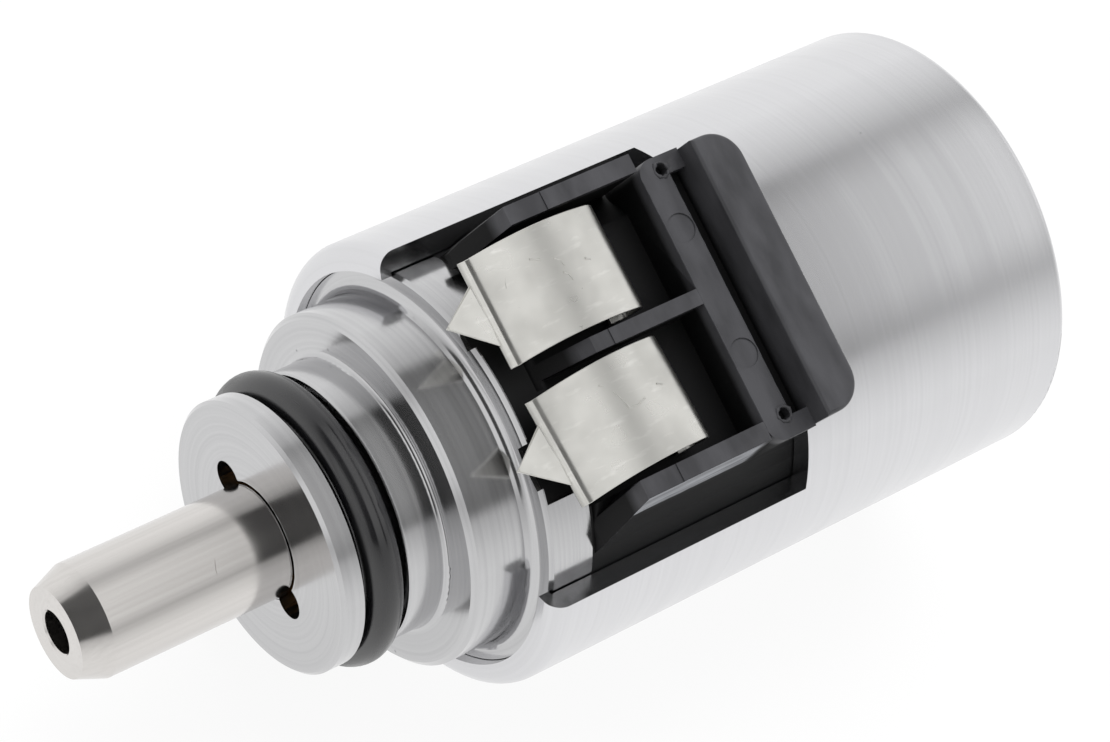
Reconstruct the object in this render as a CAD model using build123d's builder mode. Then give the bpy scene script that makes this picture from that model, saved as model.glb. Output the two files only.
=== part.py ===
"""Proportional pressure-control solenoid of an automatic gearbox, in millimetres.

The valve's axis is X, with the nose and its push pin towards -X and the closed end of the can
towards +X. The origin is where the axis meets the plane of the can's front lip. The contact
window faces +Z.
"""
import os
from math import asin, cos, degrees, radians, sin

from build123d import *

# Fits
press_gap = 0.05
running_gap = 0.03
face_gap = 0.05
cut_margin = 1.0

# Can
can_radius = 16.0
can_length = 45.2
can_wall = 1.5
can_bottom = 2.0
lip_thickness = 0.8
lip_hook = 0.3
lip_rounding = 1.2
can_back_rounding = 0.5
window_rear = 21.4
window_half_angle = 54.1

# Nose, turned in one piece
flange_thickness = 3.4
collar_step = 3.34
collar_length = 4.1
collar_chamfer = 0.4
collar_fillet = 0.8
neck_fillet = 0.4
spigot_radius = 9.7
neck_length = 2.95
groove_width = 3.45
groove_bottom_radius = 7.85
disc_thickness = 1.8
edge_chamfer = 0.25
vent_radius = 1.25
vent_circle_radius = 4.5
boss_to_can = 0.45625
boss_length = 11.7
chamber_gap = 1.1
front_bore_gap = 0.25

# Nose seal
seal_section_radius = 1.3

# Push pin
pin_radius = 4.0
pin_step = 0.5
pin_shoulder_gap = 0.05
pin_reach = 27.75
pin_chamfer_length = 2.0
pin_chamfer_depth = 0.8
pin_bore_radius = 1.5
pin_rear_setback = 4.7
ring_groove_width = 0.7
ring_groove_depth = 0.3

# Bushes
bush_wall = 1.9
front_bush_setback = 2.8
front_bush_length = 8.0
rear_bush_length = 4.5

# Armature and what it moves against
armature_step = 0.3
armature_to_pole = 3.3
armature_vent_radius = 0.8
shim_thickness = 0.3

# Guide tube
tube_wall = 0.45
tube_overlap = 6.0

# Rear pole
rear_pole_setback = 11.0
rear_pole_neck = 4.6
rear_pole_depth = 6.0
counterbore_wall = 1.0
counterbore_depth = 3.8
seat_washer_thickness = 0.5

# Return spring
spring_wire_radius = 0.4
spring_clearance = 0.2
spring_bore_gap = 0.5
spring_turns = 4

# Coil
bobbin_wall = 0.85
bobbin_front_gap = 1.7
bobbin_rear_gap = 0.8
bobbin_flange = 1.2
coil_to_can = 0.68125
winding_margin = 0.3

# Flux ring and disc spring behind the moulding
flux_ring_length = 2.1
disc_spring_thickness = 0.5
disc_spring_depth = 5.3

# End plug
plug_radius = 3.7
plug_recess = 0.3
socket_across_flats = 2.5
socket_depth = 1.0

# Terminal carrier, the black moulding
carrier_setback = 6.0
carrier_offset = 1.45
pocket_width = 8.7
rib_width = 1.3
middle_rib_width = 1.1
rib_depth = 1.0
rib_draft = 0.7
rib_ramp_length = 2.5
rib_ramp_drop = 3.8
left_tip_reach = 0.7
left_tip_drop = 3.7
left_tip_depth = 5.3
left_tip_bend = 0.65
left_tip_taper = 0.3
right_tip_bend = 0.9
ramp_cut_margin = 1.6
middle_ramp_length = 4.0
middle_ramp_drop = 3.0
rib_step_x = 9.8
rib_step_drop = 0.1
rib_front_gap = 0.2
floor_thickness = 0.5
sill_depth = 3.6
sill_thickness = 1.0
bar_front = 17.2
bar_flat = 2.2
trough_slope = 0.8
trough_web = 1.4
trough_depth = 2.4
bar_length = 20.7
bar_foot_depth = 8.15
bar_corner = 1.2
ejector_radius = 1.05
ejector_depth = 0.12
ejector_spacing = 9.25
end_hole_radius = 0.45
end_hole_depth = 1.0
end_hole_setback = 1.3
saddle_front = 20.8
saddle_width = 3.3
saddle_height = 1.0
saddle_length = 20.4
saddle_center_y = 0.8
saddle_corner = 2.3
saddle_edge = 0.3
window_clearance = 0.5
tab_recess_half_width = 6.6
tab_clearance = 0.1
tab_thickness = 0.4
rim_strip = 0.35
rim_notch_half_width = 1.5
rim_notch_depth = 3.0

# Contact springs
contact_thickness = 0.3
contact_width = 7.6
contact_crest_x = 8.1
contact_crest_depth = 0.5
contact_rear_radius = 9.5
contact_rear_sweep = 40.0
contact_front_radius = 10.25
contact_front_reach = 5.54
contact_foot_length = 1.6
left_contact_shift = 0.25
right_contact_shift = 0.2
left_contact_skew = 0.8
right_contact_skew = 3.0
tongue_width = 4.4
tongue_length = 3.66
tongue_rise = 0.85
tongue_crease = 0.12
crease_setback = 0.7
hinge_gap = 0.1

# Terminals and coil leads
terminal_width = 3.0
terminal_length = 3.5
terminal_setback = 0.4
lead_radius = 0.3
lead_setback = 0.6
lead_clearance = 0.05

# Sizes worked out from the ones above
can_bore = can_radius - can_wall
can_inner_back = can_length - can_bottom
lip_radius = can_bore - lip_hook
flange_radius = can_bore - 2 * press_gap
collar_radius = can_radius - collar_step
flange_front = lip_thickness
flange_rear = flange_front + flange_thickness
neck_front = -collar_length - neck_length
groove_front = neck_front - groove_width
disc_front = groove_front - disc_thickness
boss_radius = boss_to_can * can_radius
pole_end = flange_rear + boss_length
seal_center_radius = groove_bottom_radius + seal_section_radius
seal_center_x = neck_front - groove_width / 2
pin_stem_radius = pin_radius - pin_step
pin_shoulder = disc_front - pin_shoulder_gap
pin_rear = can_length - pin_rear_setback
bush_radius = pin_stem_radius + bush_wall
front_bush_x = disc_front + front_bush_setback
chamber_radius = pin_stem_radius + chamber_gap
rear_pole_front = can_length - rear_pole_setback
armature_radius = boss_radius - armature_step
armature_front = pole_end + shim_thickness + face_gap
armature_rear = rear_pole_front - armature_to_pole
armature_length = armature_rear - armature_front
tube_front = pole_end - tube_overlap
tube_bore = boss_radius + press_gap
tube_radius = tube_bore + tube_wall
rear_pole_shoulder = rear_pole_front + rear_pole_neck
rear_pole_radius = can_radius - rear_pole_depth
counterbore_radius = boss_radius - counterbore_wall
counterbore_end = rear_pole_front + counterbore_depth
spring_radius = counterbore_radius - spring_bore_gap - spring_wire_radius
ring_radius = spring_radius - spring_wire_radius - spring_clearance
spring_rear = counterbore_end - seat_washer_thickness
coil_radius = coil_to_can * can_radius
carrier_rear = can_length - carrier_setback
bobbin_front = flange_rear + bobbin_front_gap
bobbin_rear = carrier_rear - bobbin_rear_gap
bobbin_bore = tube_radius + 2 * press_gap
bobbin_radius = bobbin_bore + bobbin_wall
carrier_bore = coil_radius + 2 * press_gap
carrier_radius = flange_radius
flux_ring_rear = carrier_rear + flux_ring_length
disc_spring_bore = can_radius - disc_spring_depth
rib_top = can_radius - rib_depth
pocket_floor = carrier_bore + floor_thickness
sill_top = can_radius - sill_depth
bar_foot_z = can_radius - bar_foot_depth
trough_floor = can_radius - trough_depth
saddle_top = can_radius + saddle_height
rim_notch_floor = can_radius - rim_notch_depth
contact_crest_z = can_radius - contact_crest_depth
contact_foot_z = pocket_floor + contact_thickness + hinge_gap
left_rib_y = carrier_offset + middle_rib_width / 2 + pocket_width
right_rib_y = carrier_offset - middle_rib_width / 2 - pocket_width
left_contact_y = carrier_offset + (middle_rib_width + pocket_width) / 2 - left_contact_shift
right_contact_y = carrier_offset - (middle_rib_width + pocket_width) / 2 - right_contact_shift
bar_middle_x = bar_front + bar_flat / 2
bar_flat_rear = bar_front + bar_flat
end_hole_x = bar_flat_rear - end_hole_radius
end_hole_y = (saddle_center_y + carrier_offset) / 2
saddle_rear = saddle_front + saddle_width
contact_rear_reach = contact_rear_radius * sin(radians(contact_rear_sweep))
terminal_rear = contact_crest_x + contact_rear_reach - terminal_setback
terminal_front = terminal_rear - terminal_length
lead_x = terminal_front + lead_setback
recess_floor = sill_top - tab_thickness
tongue_reach = contact_crest_x - flange_front
left_tongue_y = left_contact_y - tongue_reach * sin(radians(left_contact_skew))
right_tongue_y = right_contact_y - tongue_reach * sin(radians(right_contact_skew))


def turned(points, mode=Mode.ADD):
    """Revolve a half section, given as (x, radius) points, about the valve's axis."""
    with BuildSketch(Plane.XY) as section:
        with BuildLine():
            Polyline(*points, close=True)
        make_face()
    revolve(section.sketch, axis=Axis.X, mode=mode)


def ring(x_from, x_to, inner, outer, mode=Mode.ADD):
    """A plain ring round the valve's axis."""
    turned([(x_from, inner), (x_to, inner), (x_to, outer), (x_from, outer)], mode)


def circle_edges(part, x, radius):
    """The round edges of one radius in the plane at x."""
    near = 0.01
    circles = part.edges().filter_by(GeomType.CIRCLE).filter_by_position(Axis.X, x - near, x + near)
    return circles.filter_by(lambda edge: abs(edge.radius - radius) < near)


def save(piece, name):
    """Label a finished piece and write its STEP file."""
    piece.part.label = name
    export_step(piece.part, f"parts/{name}.step")


os.makedirs("parts", exist_ok=True)

# Can: drawn cup with a bored bottom, a curled lip and the contact window
with BuildPart() as can:
    turned([
        (0, lip_radius),
        (lip_thickness, lip_radius),
        (lip_thickness, can_bore),
        (can_inner_back, can_bore),
        (can_inner_back, plug_radius),
        (can_length, plug_radius),
        (can_length, can_radius),
        (0, can_radius),
    ])
    fillet(circle_edges(can, 0, can_radius), lip_rounding)
    fillet(circle_edges(can, can_length, can_radius), can_back_rounding)
    window_reach = (can_radius + cut_margin) / cos(radians(window_half_angle))
    window_y = window_reach * sin(radians(window_half_angle))
    window_z = window_reach * cos(radians(window_half_angle))
    with BuildSketch(Plane.YZ.offset(-cut_margin)):
        with BuildLine():
            Polyline((0, 0), (window_y, window_z), (-window_y, window_z), close=True)
        make_face()
    extrude(amount=window_rear + cut_margin, mode=Mode.SUBTRACT)
save(can, "can")

# Nose body: disc, seal groove, neck, collar, flange and pole boss, bored for the front bush
with BuildPart() as nose_body:
    turned([
        (disc_front, pin_radius + front_bore_gap),
        (disc_front, spigot_radius),
        (groove_front, spigot_radius),
        (groove_front, groove_bottom_radius),
        (neck_front, groove_bottom_radius),
        (neck_front, spigot_radius),
        (-collar_length, spigot_radius),
        (-collar_length, collar_radius),
        (flange_front, collar_radius),
        (flange_front, flange_radius),
        (flange_rear, flange_radius),
        (flange_rear, boss_radius),
        (pole_end, boss_radius),
        (pole_end, chamber_radius),
        (front_bush_x + front_bush_length, chamber_radius),
        (front_bush_x + front_bush_length, bush_radius),
        (front_bush_x, bush_radius),
        (front_bush_x, pin_radius + front_bore_gap),
    ])
    fillet(circle_edges(nose_body, flange_front, collar_radius), collar_fillet)
    fillet(circle_edges(nose_body, -collar_length, spigot_radius), neck_fillet)
    chamfer(circle_edges(nose_body, -collar_length, collar_radius), collar_chamfer)
    chamfer(circle_edges(nose_body, disc_front, spigot_radius), edge_chamfer)
    chamfer(circle_edges(nose_body, groove_front, spigot_radius), edge_chamfer / 2)
    chamfer(circle_edges(nose_body, neck_front, spigot_radius), edge_chamfer / 2)
    chamfer(circle_edges(nose_body, flange_front, flange_radius), edge_chamfer)
    with BuildSketch(Plane.YZ.offset(disc_front)):
        with PolarLocations(vent_circle_radius, 2):
            Circle(vent_radius)
    vent_depth = front_bush_x + front_bush_length + vent_radius - disc_front
    extrude(amount=vent_depth, mode=Mode.SUBTRACT)
    with BuildSketch(Plane.YZ.offset(flange_front + rim_strip)):
        with Locations((0, recess_floor)):
            Rectangle(2 * tab_recess_half_width, can_radius, align=(Align.CENTER, Align.MIN))
    extrude(amount=flange_thickness, mode=Mode.SUBTRACT)
    with BuildSketch(Plane.YZ.offset(flange_front)):
        with Locations((left_tongue_y, rim_notch_floor), (right_tongue_y, rim_notch_floor)):
            Rectangle(2 * rim_notch_half_width, can_radius, align=(Align.CENTER, Align.MIN))
    extrude(amount=flange_thickness, mode=Mode.SUBTRACT)
save(nose_body, "nose_body")

# Nose seal: O-ring in the groove
with BuildPart() as nose_seal:
    with BuildSketch(Plane.XY):
        with Locations((seal_center_x, seal_center_radius)):
            Circle(seal_section_radius)
    revolve(axis=Axis.X)
save(nose_seal, "nose_seal")

# Push pin: hollow, chamfered at the tip, with a thinner stem grooved for the retaining ring
with BuildPart() as plunger_pin:
    turned([
        (-pin_reach, pin_bore_radius),
        (-pin_reach, pin_radius - pin_chamfer_depth),
        (-pin_reach + pin_chamfer_length, pin_radius),
        (pin_shoulder, pin_radius),
        (pin_shoulder, pin_stem_radius),
        (armature_rear, pin_stem_radius),
        (armature_rear, pin_stem_radius - ring_groove_depth),
        (armature_rear + ring_groove_width, pin_stem_radius - ring_groove_depth),
        (armature_rear + ring_groove_width, pin_stem_radius),
        (pin_rear, pin_stem_radius),
        (pin_rear, pin_bore_radius),
    ])
    chamfer(circle_edges(plunger_pin, -pin_reach, pin_bore_radius), edge_chamfer / 2)
    chamfer(circle_edges(plunger_pin, pin_rear, pin_stem_radius), edge_chamfer)
save(plunger_pin, "plunger_pin")

# Armature: pressed on the pin, with two axial vents
with BuildPart() as armature:
    ring(armature_front, armature_rear, pin_stem_radius, armature_radius)
    chamfer(circle_edges(armature, armature_rear, armature_radius), edge_chamfer)
    with BuildSketch(Plane.YZ.offset(armature_front)):
        with PolarLocations((pin_stem_radius + armature_radius) / 2, 2):
            Circle(armature_vent_radius)
    extrude(amount=armature_length, mode=Mode.SUBTRACT)
save(armature, "armature")

# Retaining ring behind the armature
with BuildPart() as armature_ring:
    ring(armature_rear, armature_rear + ring_groove_width, pin_stem_radius - ring_groove_depth,
         ring_radius)
save(armature_ring, "armature_ring")

# Stop shim between pole and armature
with BuildPart() as stop_shim:
    ring(pole_end, pole_end + shim_thickness, chamber_radius, armature_radius)
save(stop_shim, "stop_shim")

# Bushes
with BuildPart() as front_bush:
    ring(front_bush_x, front_bush_x + front_bush_length, pin_stem_radius + running_gap, bush_radius)
save(front_bush, "front_bush")

with BuildPart() as rear_bush:
    ring(counterbore_end, counterbore_end + rear_bush_length, pin_stem_radius + running_gap, bush_radius)
save(rear_bush, "rear_bush")

# Guide tube over both poles
with BuildPart() as guide_tube:
    ring(tube_front, rear_pole_shoulder, tube_bore, tube_radius)
save(guide_tube, "guide_tube")

# Rear pole: counterbored for the return spring
with BuildPart() as rear_pole:
    turned([
        (rear_pole_front, counterbore_radius),
        (rear_pole_front, boss_radius),
        (rear_pole_shoulder, boss_radius),
        (rear_pole_shoulder, rear_pole_radius),
        (can_inner_back, rear_pole_radius),
        (can_inner_back, bush_radius),
        (counterbore_end, bush_radius),
        (counterbore_end, counterbore_radius),
    ])
save(rear_pole, "rear_pole")

with BuildPart() as spring_seat:
    ring(spring_rear, counterbore_end, pin_stem_radius + front_bore_gap, counterbore_radius - 2 * press_gap)
save(spring_seat, "spring_seat")

# Return spring: wound round the pin, between armature and seat
with BuildPart() as return_spring:
    spring_length = spring_rear - armature_rear - 2 * spring_wire_radius - 2 * face_gap
    spring_start = (armature_rear + spring_wire_radius + face_gap, 0, 0)
    with BuildLine():
        coil_line = Helix(spring_length / spring_turns, spring_length, spring_radius,
                          center=spring_start, direction=(1, 0, 0))
    with BuildSketch(Plane(origin=coil_line @ 0, z_dir=coil_line % 0)):
        Circle(spring_wire_radius)
    sweep(is_frenet=True)
save(return_spring, "return_spring")

# Coil: bobbin and winding
with BuildPart() as coil_bobbin:
    turned([
        (bobbin_front, bobbin_bore),
        (bobbin_rear, bobbin_bore),
        (bobbin_rear, coil_radius),
        (bobbin_rear - bobbin_flange, coil_radius),
        (bobbin_rear - bobbin_flange, bobbin_radius),
        (bobbin_front + bobbin_flange, bobbin_radius),
        (bobbin_front + bobbin_flange, coil_radius),
        (bobbin_front, coil_radius),
    ])
save(coil_bobbin, "coil_bobbin")

with BuildPart() as coil_winding:
    ring(bobbin_front + bobbin_flange, bobbin_rear - bobbin_flange, bobbin_radius,
         coil_radius - winding_margin)
save(coil_winding, "coil_winding")

# Seal between the nose's boss and the bobbin
with BuildPart() as pole_seal:
    pole_seal_section = (bobbin_front - flange_rear) / 2 - press_gap
    with BuildSketch(Plane.XY):
        with Locations(((bobbin_front + flange_rear) / 2, boss_radius + press_gap + pole_seal_section)):
            Circle(pole_seal_section)
    revolve(axis=Axis.X)
save(pole_seal, "pole_seal")

# Flux ring and disc spring behind the moulding
with BuildPart() as flux_ring:
    ring(carrier_rear, flux_ring_rear, rear_pole_radius + press_gap, flange_radius)
save(flux_ring, "flux_ring")

with BuildPart() as disc_spring:
    turned([
        (flux_ring_rear, carrier_radius - press_gap),
        (flux_ring_rear + disc_spring_thickness, carrier_radius - press_gap),
        (can_inner_back, disc_spring_bore),
        (can_inner_back - disc_spring_thickness, disc_spring_bore),
    ])
save(disc_spring, "disc_spring")

# End plug in the can's bottom, with a hexagon socket
with BuildPart() as end_plug:
    ring(can_inner_back, can_length - plug_recess, 0, plug_radius - running_gap)
    with BuildSketch(Plane.YZ.offset(can_length - plug_recess - socket_depth)):
        RegularPolygon(socket_across_flats / 2, 6, major_radius=False)
    extrude(amount=socket_depth, mode=Mode.SUBTRACT)
save(end_plug, "end_plug")


def rib_section(y_inner, y_outer, draft):
    """A rib's cross-section between its pocket wall and its outer side, which leans out by draft."""
    foot_z = (carrier_bore + carrier_radius) / 2 * cos(asin(abs(y_outer) / carrier_radius))
    with BuildLine() as outline:
        Polyline((y_inner, foot_z), (y_inner, rib_top), (y_outer, rib_top),
                 (y_outer + draft, foot_z), close=True)
    make_face(outline.edges())


# Terminal carrier: sleeve over the coil, three ramped ribs, cross-bar, saddle and front tab
with BuildPart() as terminal_carrier:
    ring(flange_rear, carrier_rear, carrier_bore - cut_margin, carrier_radius)
    rib_start = flange_rear + rib_front_gap
    with BuildSketch(Plane.YZ.offset(flange_rear)):
        with Locations((carrier_offset, pocket_floor)):
            Rectangle(middle_rib_width + 2 * pocket_width, can_radius, align=(Align.CENTER, Align.MIN))
    extrude(amount=bar_front - flange_rear, mode=Mode.SUBTRACT)
    with BuildSketch(Plane.YZ.offset(flange_rear)):
        with Locations((0, recess_floor)):
            Rectangle(2 * (tab_recess_half_width - tab_clearance), tab_thickness,
                      align=(Align.CENTER, Align.MIN))
    extrude(amount=-(flange_thickness - rim_strip - tab_clearance))
    with BuildSketch(Plane.YZ.offset(flange_rear)):
        with Locations((0, carrier_bore)):
            Rectangle(2 * (tab_recess_half_width - tab_clearance), sill_top - carrier_bore,
                      align=(Align.CENTER, Align.MIN))
    extrude(amount=sill_thickness)
    # Right rib: its front bends away from the strip
    ramp_rear = rib_start + rib_ramp_length
    with BuildSketch(Plane.YZ.offset(rib_start)):
        rib_section(right_rib_y - right_tip_bend, right_rib_y - rib_width - right_tip_bend, -rib_draft)
    with BuildSketch(Plane.YZ.offset(ramp_rear)):
        rib_section(right_rib_y, right_rib_y - rib_width, -rib_draft)
    loft()
    with BuildSketch(Plane.YZ.offset(ramp_rear)):
        rib_section(right_rib_y, right_rib_y - rib_width, -rib_draft)
    extrude(amount=bar_front - ramp_rear)
    # Middle rib
    with BuildSketch(Plane.YZ.offset(rib_start)):
        with Locations((carrier_offset, carrier_bore)):
            Rectangle(middle_rib_width, rib_top - carrier_bore, align=(Align.CENTER, Align.MIN))
    extrude(amount=bar_front - rib_start)
    # Left rib: its front bends in towards the strip and reaches over the nose's flange
    left_outer_y = left_rib_y + rib_width
    left_foot_z = carrier_bore * cos(asin(left_outer_y / carrier_radius))
    left_tip_x = rib_start - left_tip_reach
    with BuildSketch(Plane.XY.offset(left_foot_z)):
        with BuildLine():
            Polyline((rib_start, left_rib_y - left_tip_bend), (ramp_rear, left_rib_y),
                     (bar_front, left_rib_y), (bar_front, left_outer_y), (ramp_rear, left_outer_y),
                     (rib_start, left_outer_y - left_tip_bend), close=True)
        make_face()
    extrude(amount=rib_top - left_foot_z)
    with BuildSketch(Plane.XY.offset(can_radius - left_tip_depth)):
        with BuildLine():
            Polyline((left_tip_x, left_rib_y - left_tip_bend), (rib_start, left_rib_y - left_tip_bend),
                     (rib_start, left_outer_y - left_tip_bend),
                     (left_tip_x, left_outer_y - left_tip_bend - left_tip_taper), close=True)
        make_face()
    extrude(amount=left_tip_depth - rib_depth)
    # Ramps at the ribs' front ends, and the shallow parting step behind them
    with BuildSketch(Plane.XZ.offset(-can_radius)):
        with BuildLine():
            Polyline((left_tip_x, rib_top - left_tip_drop), (ramp_rear, rib_top),
                     (ramp_rear, can_radius), (left_tip_x, can_radius), close=True)
        make_face()
    extrude(amount=can_radius - left_rib_y + ramp_cut_margin, mode=Mode.SUBTRACT)
    with BuildSketch(Plane.XZ.offset(can_radius)):
        with BuildLine():
            Polyline((rib_start, rib_top - rib_ramp_drop), (ramp_rear, rib_top),
                     (ramp_rear, can_radius), (rib_start, can_radius), close=True)
        make_face()
    extrude(amount=-(can_radius + right_rib_y + ramp_cut_margin), mode=Mode.SUBTRACT)
    with BuildSketch(Plane.XZ.offset(-can_radius)):
        with BuildLine():
            Polyline((left_tip_x, rib_top - rib_step_drop), (rib_step_x, rib_top - rib_step_drop),
                     (rib_step_x, can_radius), (left_tip_x, can_radius), close=True)
        make_face()
    extrude(amount=2 * can_radius, mode=Mode.SUBTRACT)
    with BuildSketch(Plane.XZ.offset(-carrier_offset - middle_rib_width)):
        with BuildLine():
            Polyline((rib_start, rib_top - middle_ramp_drop), (rib_start + middle_ramp_length, rib_top),
                     (rib_start + middle_ramp_length, can_radius), (rib_start, can_radius), close=True)
        make_face()
    extrude(amount=2 * middle_rib_width, mode=Mode.SUBTRACT)
    # Cross-bar with rounded ends, joined to the saddle, with a trough between them
    with BuildSketch(Plane.XY.offset(bar_foot_z)) as bar_plan:
        with Locations((bar_front, saddle_center_y)):
            Rectangle(saddle_front - bar_front, bar_length, align=(Align.MIN, Align.CENTER))
        fillet(bar_plan.vertices().group_by(Axis.X)[0], bar_corner)
    extrude(amount=rib_top - bar_foot_z)
    trough_half_length = bar_length / 2 - trough_web
    with BuildSketch(Plane.XZ.offset(trough_half_length - saddle_center_y)):
        with BuildLine():
            Polyline((bar_flat_rear, rib_top), (bar_flat_rear + trough_slope, trough_floor),
                     (saddle_front, trough_floor), (saddle_front, can_radius),
                     (bar_flat_rear, can_radius), close=True)
        make_face()
    extrude(amount=-2 * trough_half_length, mode=Mode.SUBTRACT)
    # Saddle: within the window in front of the can's wall, and standing on the can behind it
    with BuildSketch(Plane.YZ.offset(saddle_front)):
        with Locations((saddle_center_y, bar_foot_z)):
            Rectangle(saddle_length, saddle_top - bar_foot_z, align=(Align.CENTER, Align.MIN))
    extrude(amount=window_rear - face_gap - saddle_front)
    with BuildSketch(Plane.YZ.offset(window_rear - face_gap)):
        with Locations((saddle_center_y, bar_foot_z)):
            Rectangle(saddle_length, saddle_top - bar_foot_z, align=(Align.CENTER, Align.MIN))
        Circle(can_radius + press_gap, mode=Mode.SUBTRACT)
    extrude(amount=saddle_rear - window_rear + face_gap)
    saddle_corners = terminal_carrier.edges().filter_by(Axis.Z).filter_by_position(
        Axis.X, saddle_rear - face_gap, saddle_rear + face_gap)
    fillet(saddle_corners, saddle_corner)
    saddle_face = terminal_carrier.faces().filter_by(Axis.Z).sort_by(Axis.Z)[-1]
    fillet(saddle_face.edges(), saddle_edge)
    bar_plane = Plane.XY.offset(rib_top)
    with BuildSketch(bar_plane):
        with Locations((bar_middle_x, carrier_offset)):
            with GridLocations(1, ejector_spacing, 1, 2):
                Circle(ejector_radius)
    extrude(amount=-ejector_depth, mode=Mode.SUBTRACT)
    with BuildSketch(bar_plane):
        with Locations((end_hole_x, end_hole_y)):
            with GridLocations(1, bar_length - 2 * end_hole_setback, 1, 2):
                Circle(end_hole_radius)
    extrude(amount=-end_hole_depth, mode=Mode.SUBTRACT)
    # Sides trimmed to clear the can wall beside the window
    trim_angle = radians(window_half_angle - window_clearance)
    with BuildSketch(Plane.YZ.offset(flange_rear)):
        Circle(can_radius + press_gap)
        Circle(carrier_radius, mode=Mode.SUBTRACT)
        with BuildLine():
            Polyline((0, 0), (2 * can_radius * sin(trim_angle), 2 * can_radius * cos(trim_angle)),
                     (-2 * can_radius * sin(trim_angle), 2 * can_radius * cos(trim_angle)), close=True)
        make_face(mode=Mode.SUBTRACT)
    extrude(amount=window_rear - flange_rear, mode=Mode.SUBTRACT)
    # Bore for the coil, and holes in the pocket floors for the coil leads
    ring(flange_rear - flange_thickness, carrier_rear, 0, carrier_bore, mode=Mode.SUBTRACT)
    with BuildSketch(Plane.XY):
        with Locations((lead_x, left_contact_y), (lead_x, right_contact_y)):
            Circle(lead_radius + lead_clearance)
    extrude(amount=pocket_floor, mode=Mode.SUBTRACT)
save(terminal_carrier, "terminal_carrier")


def contact_spring(y, skew):
    """An arched contact strip, turned by skew degrees in plan.

    It has a pointed, raised tongue in front, and behind a leg with its foot folded under the arch.
    """
    turn = radians(skew)
    side = Plane(origin=(contact_crest_x, y, 0), x_dir=(cos(turn), sin(turn), 0),
                 z_dir=(sin(turn), -cos(turn), 0))
    plan = Plane(origin=(contact_crest_x, y, contact_foot_z), x_dir=(cos(turn), sin(turn), 0))
    rear_center = (0, contact_crest_z - contact_rear_radius)
    front_center = (0, contact_crest_z - contact_front_radius)
    rear_inner_radius = contact_rear_radius - contact_thickness
    front_inner_radius = contact_front_radius - contact_thickness
    foot_top = contact_foot_z + contact_thickness
    leg_inner = contact_rear_reach - contact_thickness
    inner_sweep = degrees(asin(leg_inner / rear_inner_radius))
    front_sweep = degrees(asin(contact_front_reach / contact_front_radius))
    foot_end = contact_rear_reach - contact_foot_length
    front_z = front_center[1] + contact_front_radius * cos(radians(front_sweep))

    with BuildPart() as tongue:
        with BuildSketch(side):
            with BuildLine():
                Polyline(
                    (-contact_front_reach + contact_thickness, front_z - contact_thickness),
                    (-contact_front_reach - tongue_length, front_z + tongue_rise - contact_thickness),
                    (-contact_front_reach - tongue_length, front_z + tongue_rise),
                    (-contact_front_reach + contact_thickness, front_z + face_gap),
                    close=True)
            make_face()
        extrude(amount=tongue_width / 2, both=True)
        with BuildSketch(plan):
            with BuildLine():
                Polyline((-contact_front_reach + contact_thickness, tongue_width / 2),
                         (-contact_front_reach, tongue_width / 2),
                         (-contact_front_reach - tongue_length, 0),
                         (-contact_front_reach, -tongue_width / 2),
                         (-contact_front_reach + contact_thickness, -tongue_width / 2), close=True)
            make_face()
        extrude(amount=can_radius, mode=Mode.INTERSECT)

    with BuildPart() as strip:
        with BuildSketch(side):
            with BuildLine():
                rear_outer = CenterArc(rear_center, contact_rear_radius, 90 - contact_rear_sweep,
                                       contact_rear_sweep)
                front_outer = CenterArc(front_center, contact_front_radius, 90, front_sweep)
                front_inner = CenterArc(front_center, front_inner_radius, 90, front_sweep)
                rear_inner = CenterArc(rear_center, rear_inner_radius, 90 - inner_sweep, inner_sweep)
                Line(front_outer @ 1, front_inner @ 1)
                Polyline(rear_outer @ 0, (contact_rear_reach, contact_foot_z),
                         (foot_end, contact_foot_z), (foot_end, foot_top), (leg_inner, foot_top),
                         rear_inner @ 0)
            make_face()
        extrude(amount=contact_width / 2, both=True)
        add(tongue.part)
        with BuildSketch(side):
            with Locations((-contact_front_reach + crease_setback, front_z + crease_setback / 2)):
                Circle(tongue_crease)
        extrude(amount=tongue_width / 2, both=True, mode=Mode.SUBTRACT)
    return strip


# Contact springs, the terminal blades under their feet and the coil's leads
for name, y, skew in (("left", left_contact_y, left_contact_skew),
                      ("right", right_contact_y, right_contact_skew)):
    save(contact_spring(y, skew), f"contact_spring_{name}")

    with BuildPart() as terminal:
        with BuildSketch(Plane.XY.offset(pocket_floor)):
            with Locations((terminal_front, y)):
                Rectangle(terminal_length, terminal_width, align=(Align.MIN, Align.CENTER))
        extrude(amount=contact_thickness)
    save(terminal, f"terminal_{name}")

    with BuildPart() as coil_lead:
        winding_top = ((coil_radius - winding_margin) ** 2 - (abs(y) - lead_radius) ** 2) ** 0.5
        with BuildSketch(Plane.XY.offset(winding_top)):
            with Locations((lead_x, y)):
                Circle(lead_radius)
        extrude(amount=pocket_floor - winding_top)
    save(coil_lead, f"coil_lead_{name}")
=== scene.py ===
"""Looks of a proportional pressure-control solenoid valve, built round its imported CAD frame.

Sizes are in millimetres unless a name says otherwise; Blender works in metres. The valve's axis is
X, with the nose towards -X, the closed end of the can towards +X and the contact window facing +Z.
"""

import logging
import math
from dataclasses import dataclass
from enum import Enum

import bmesh
import bpy
from mathutils import Matrix, Vector


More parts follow.
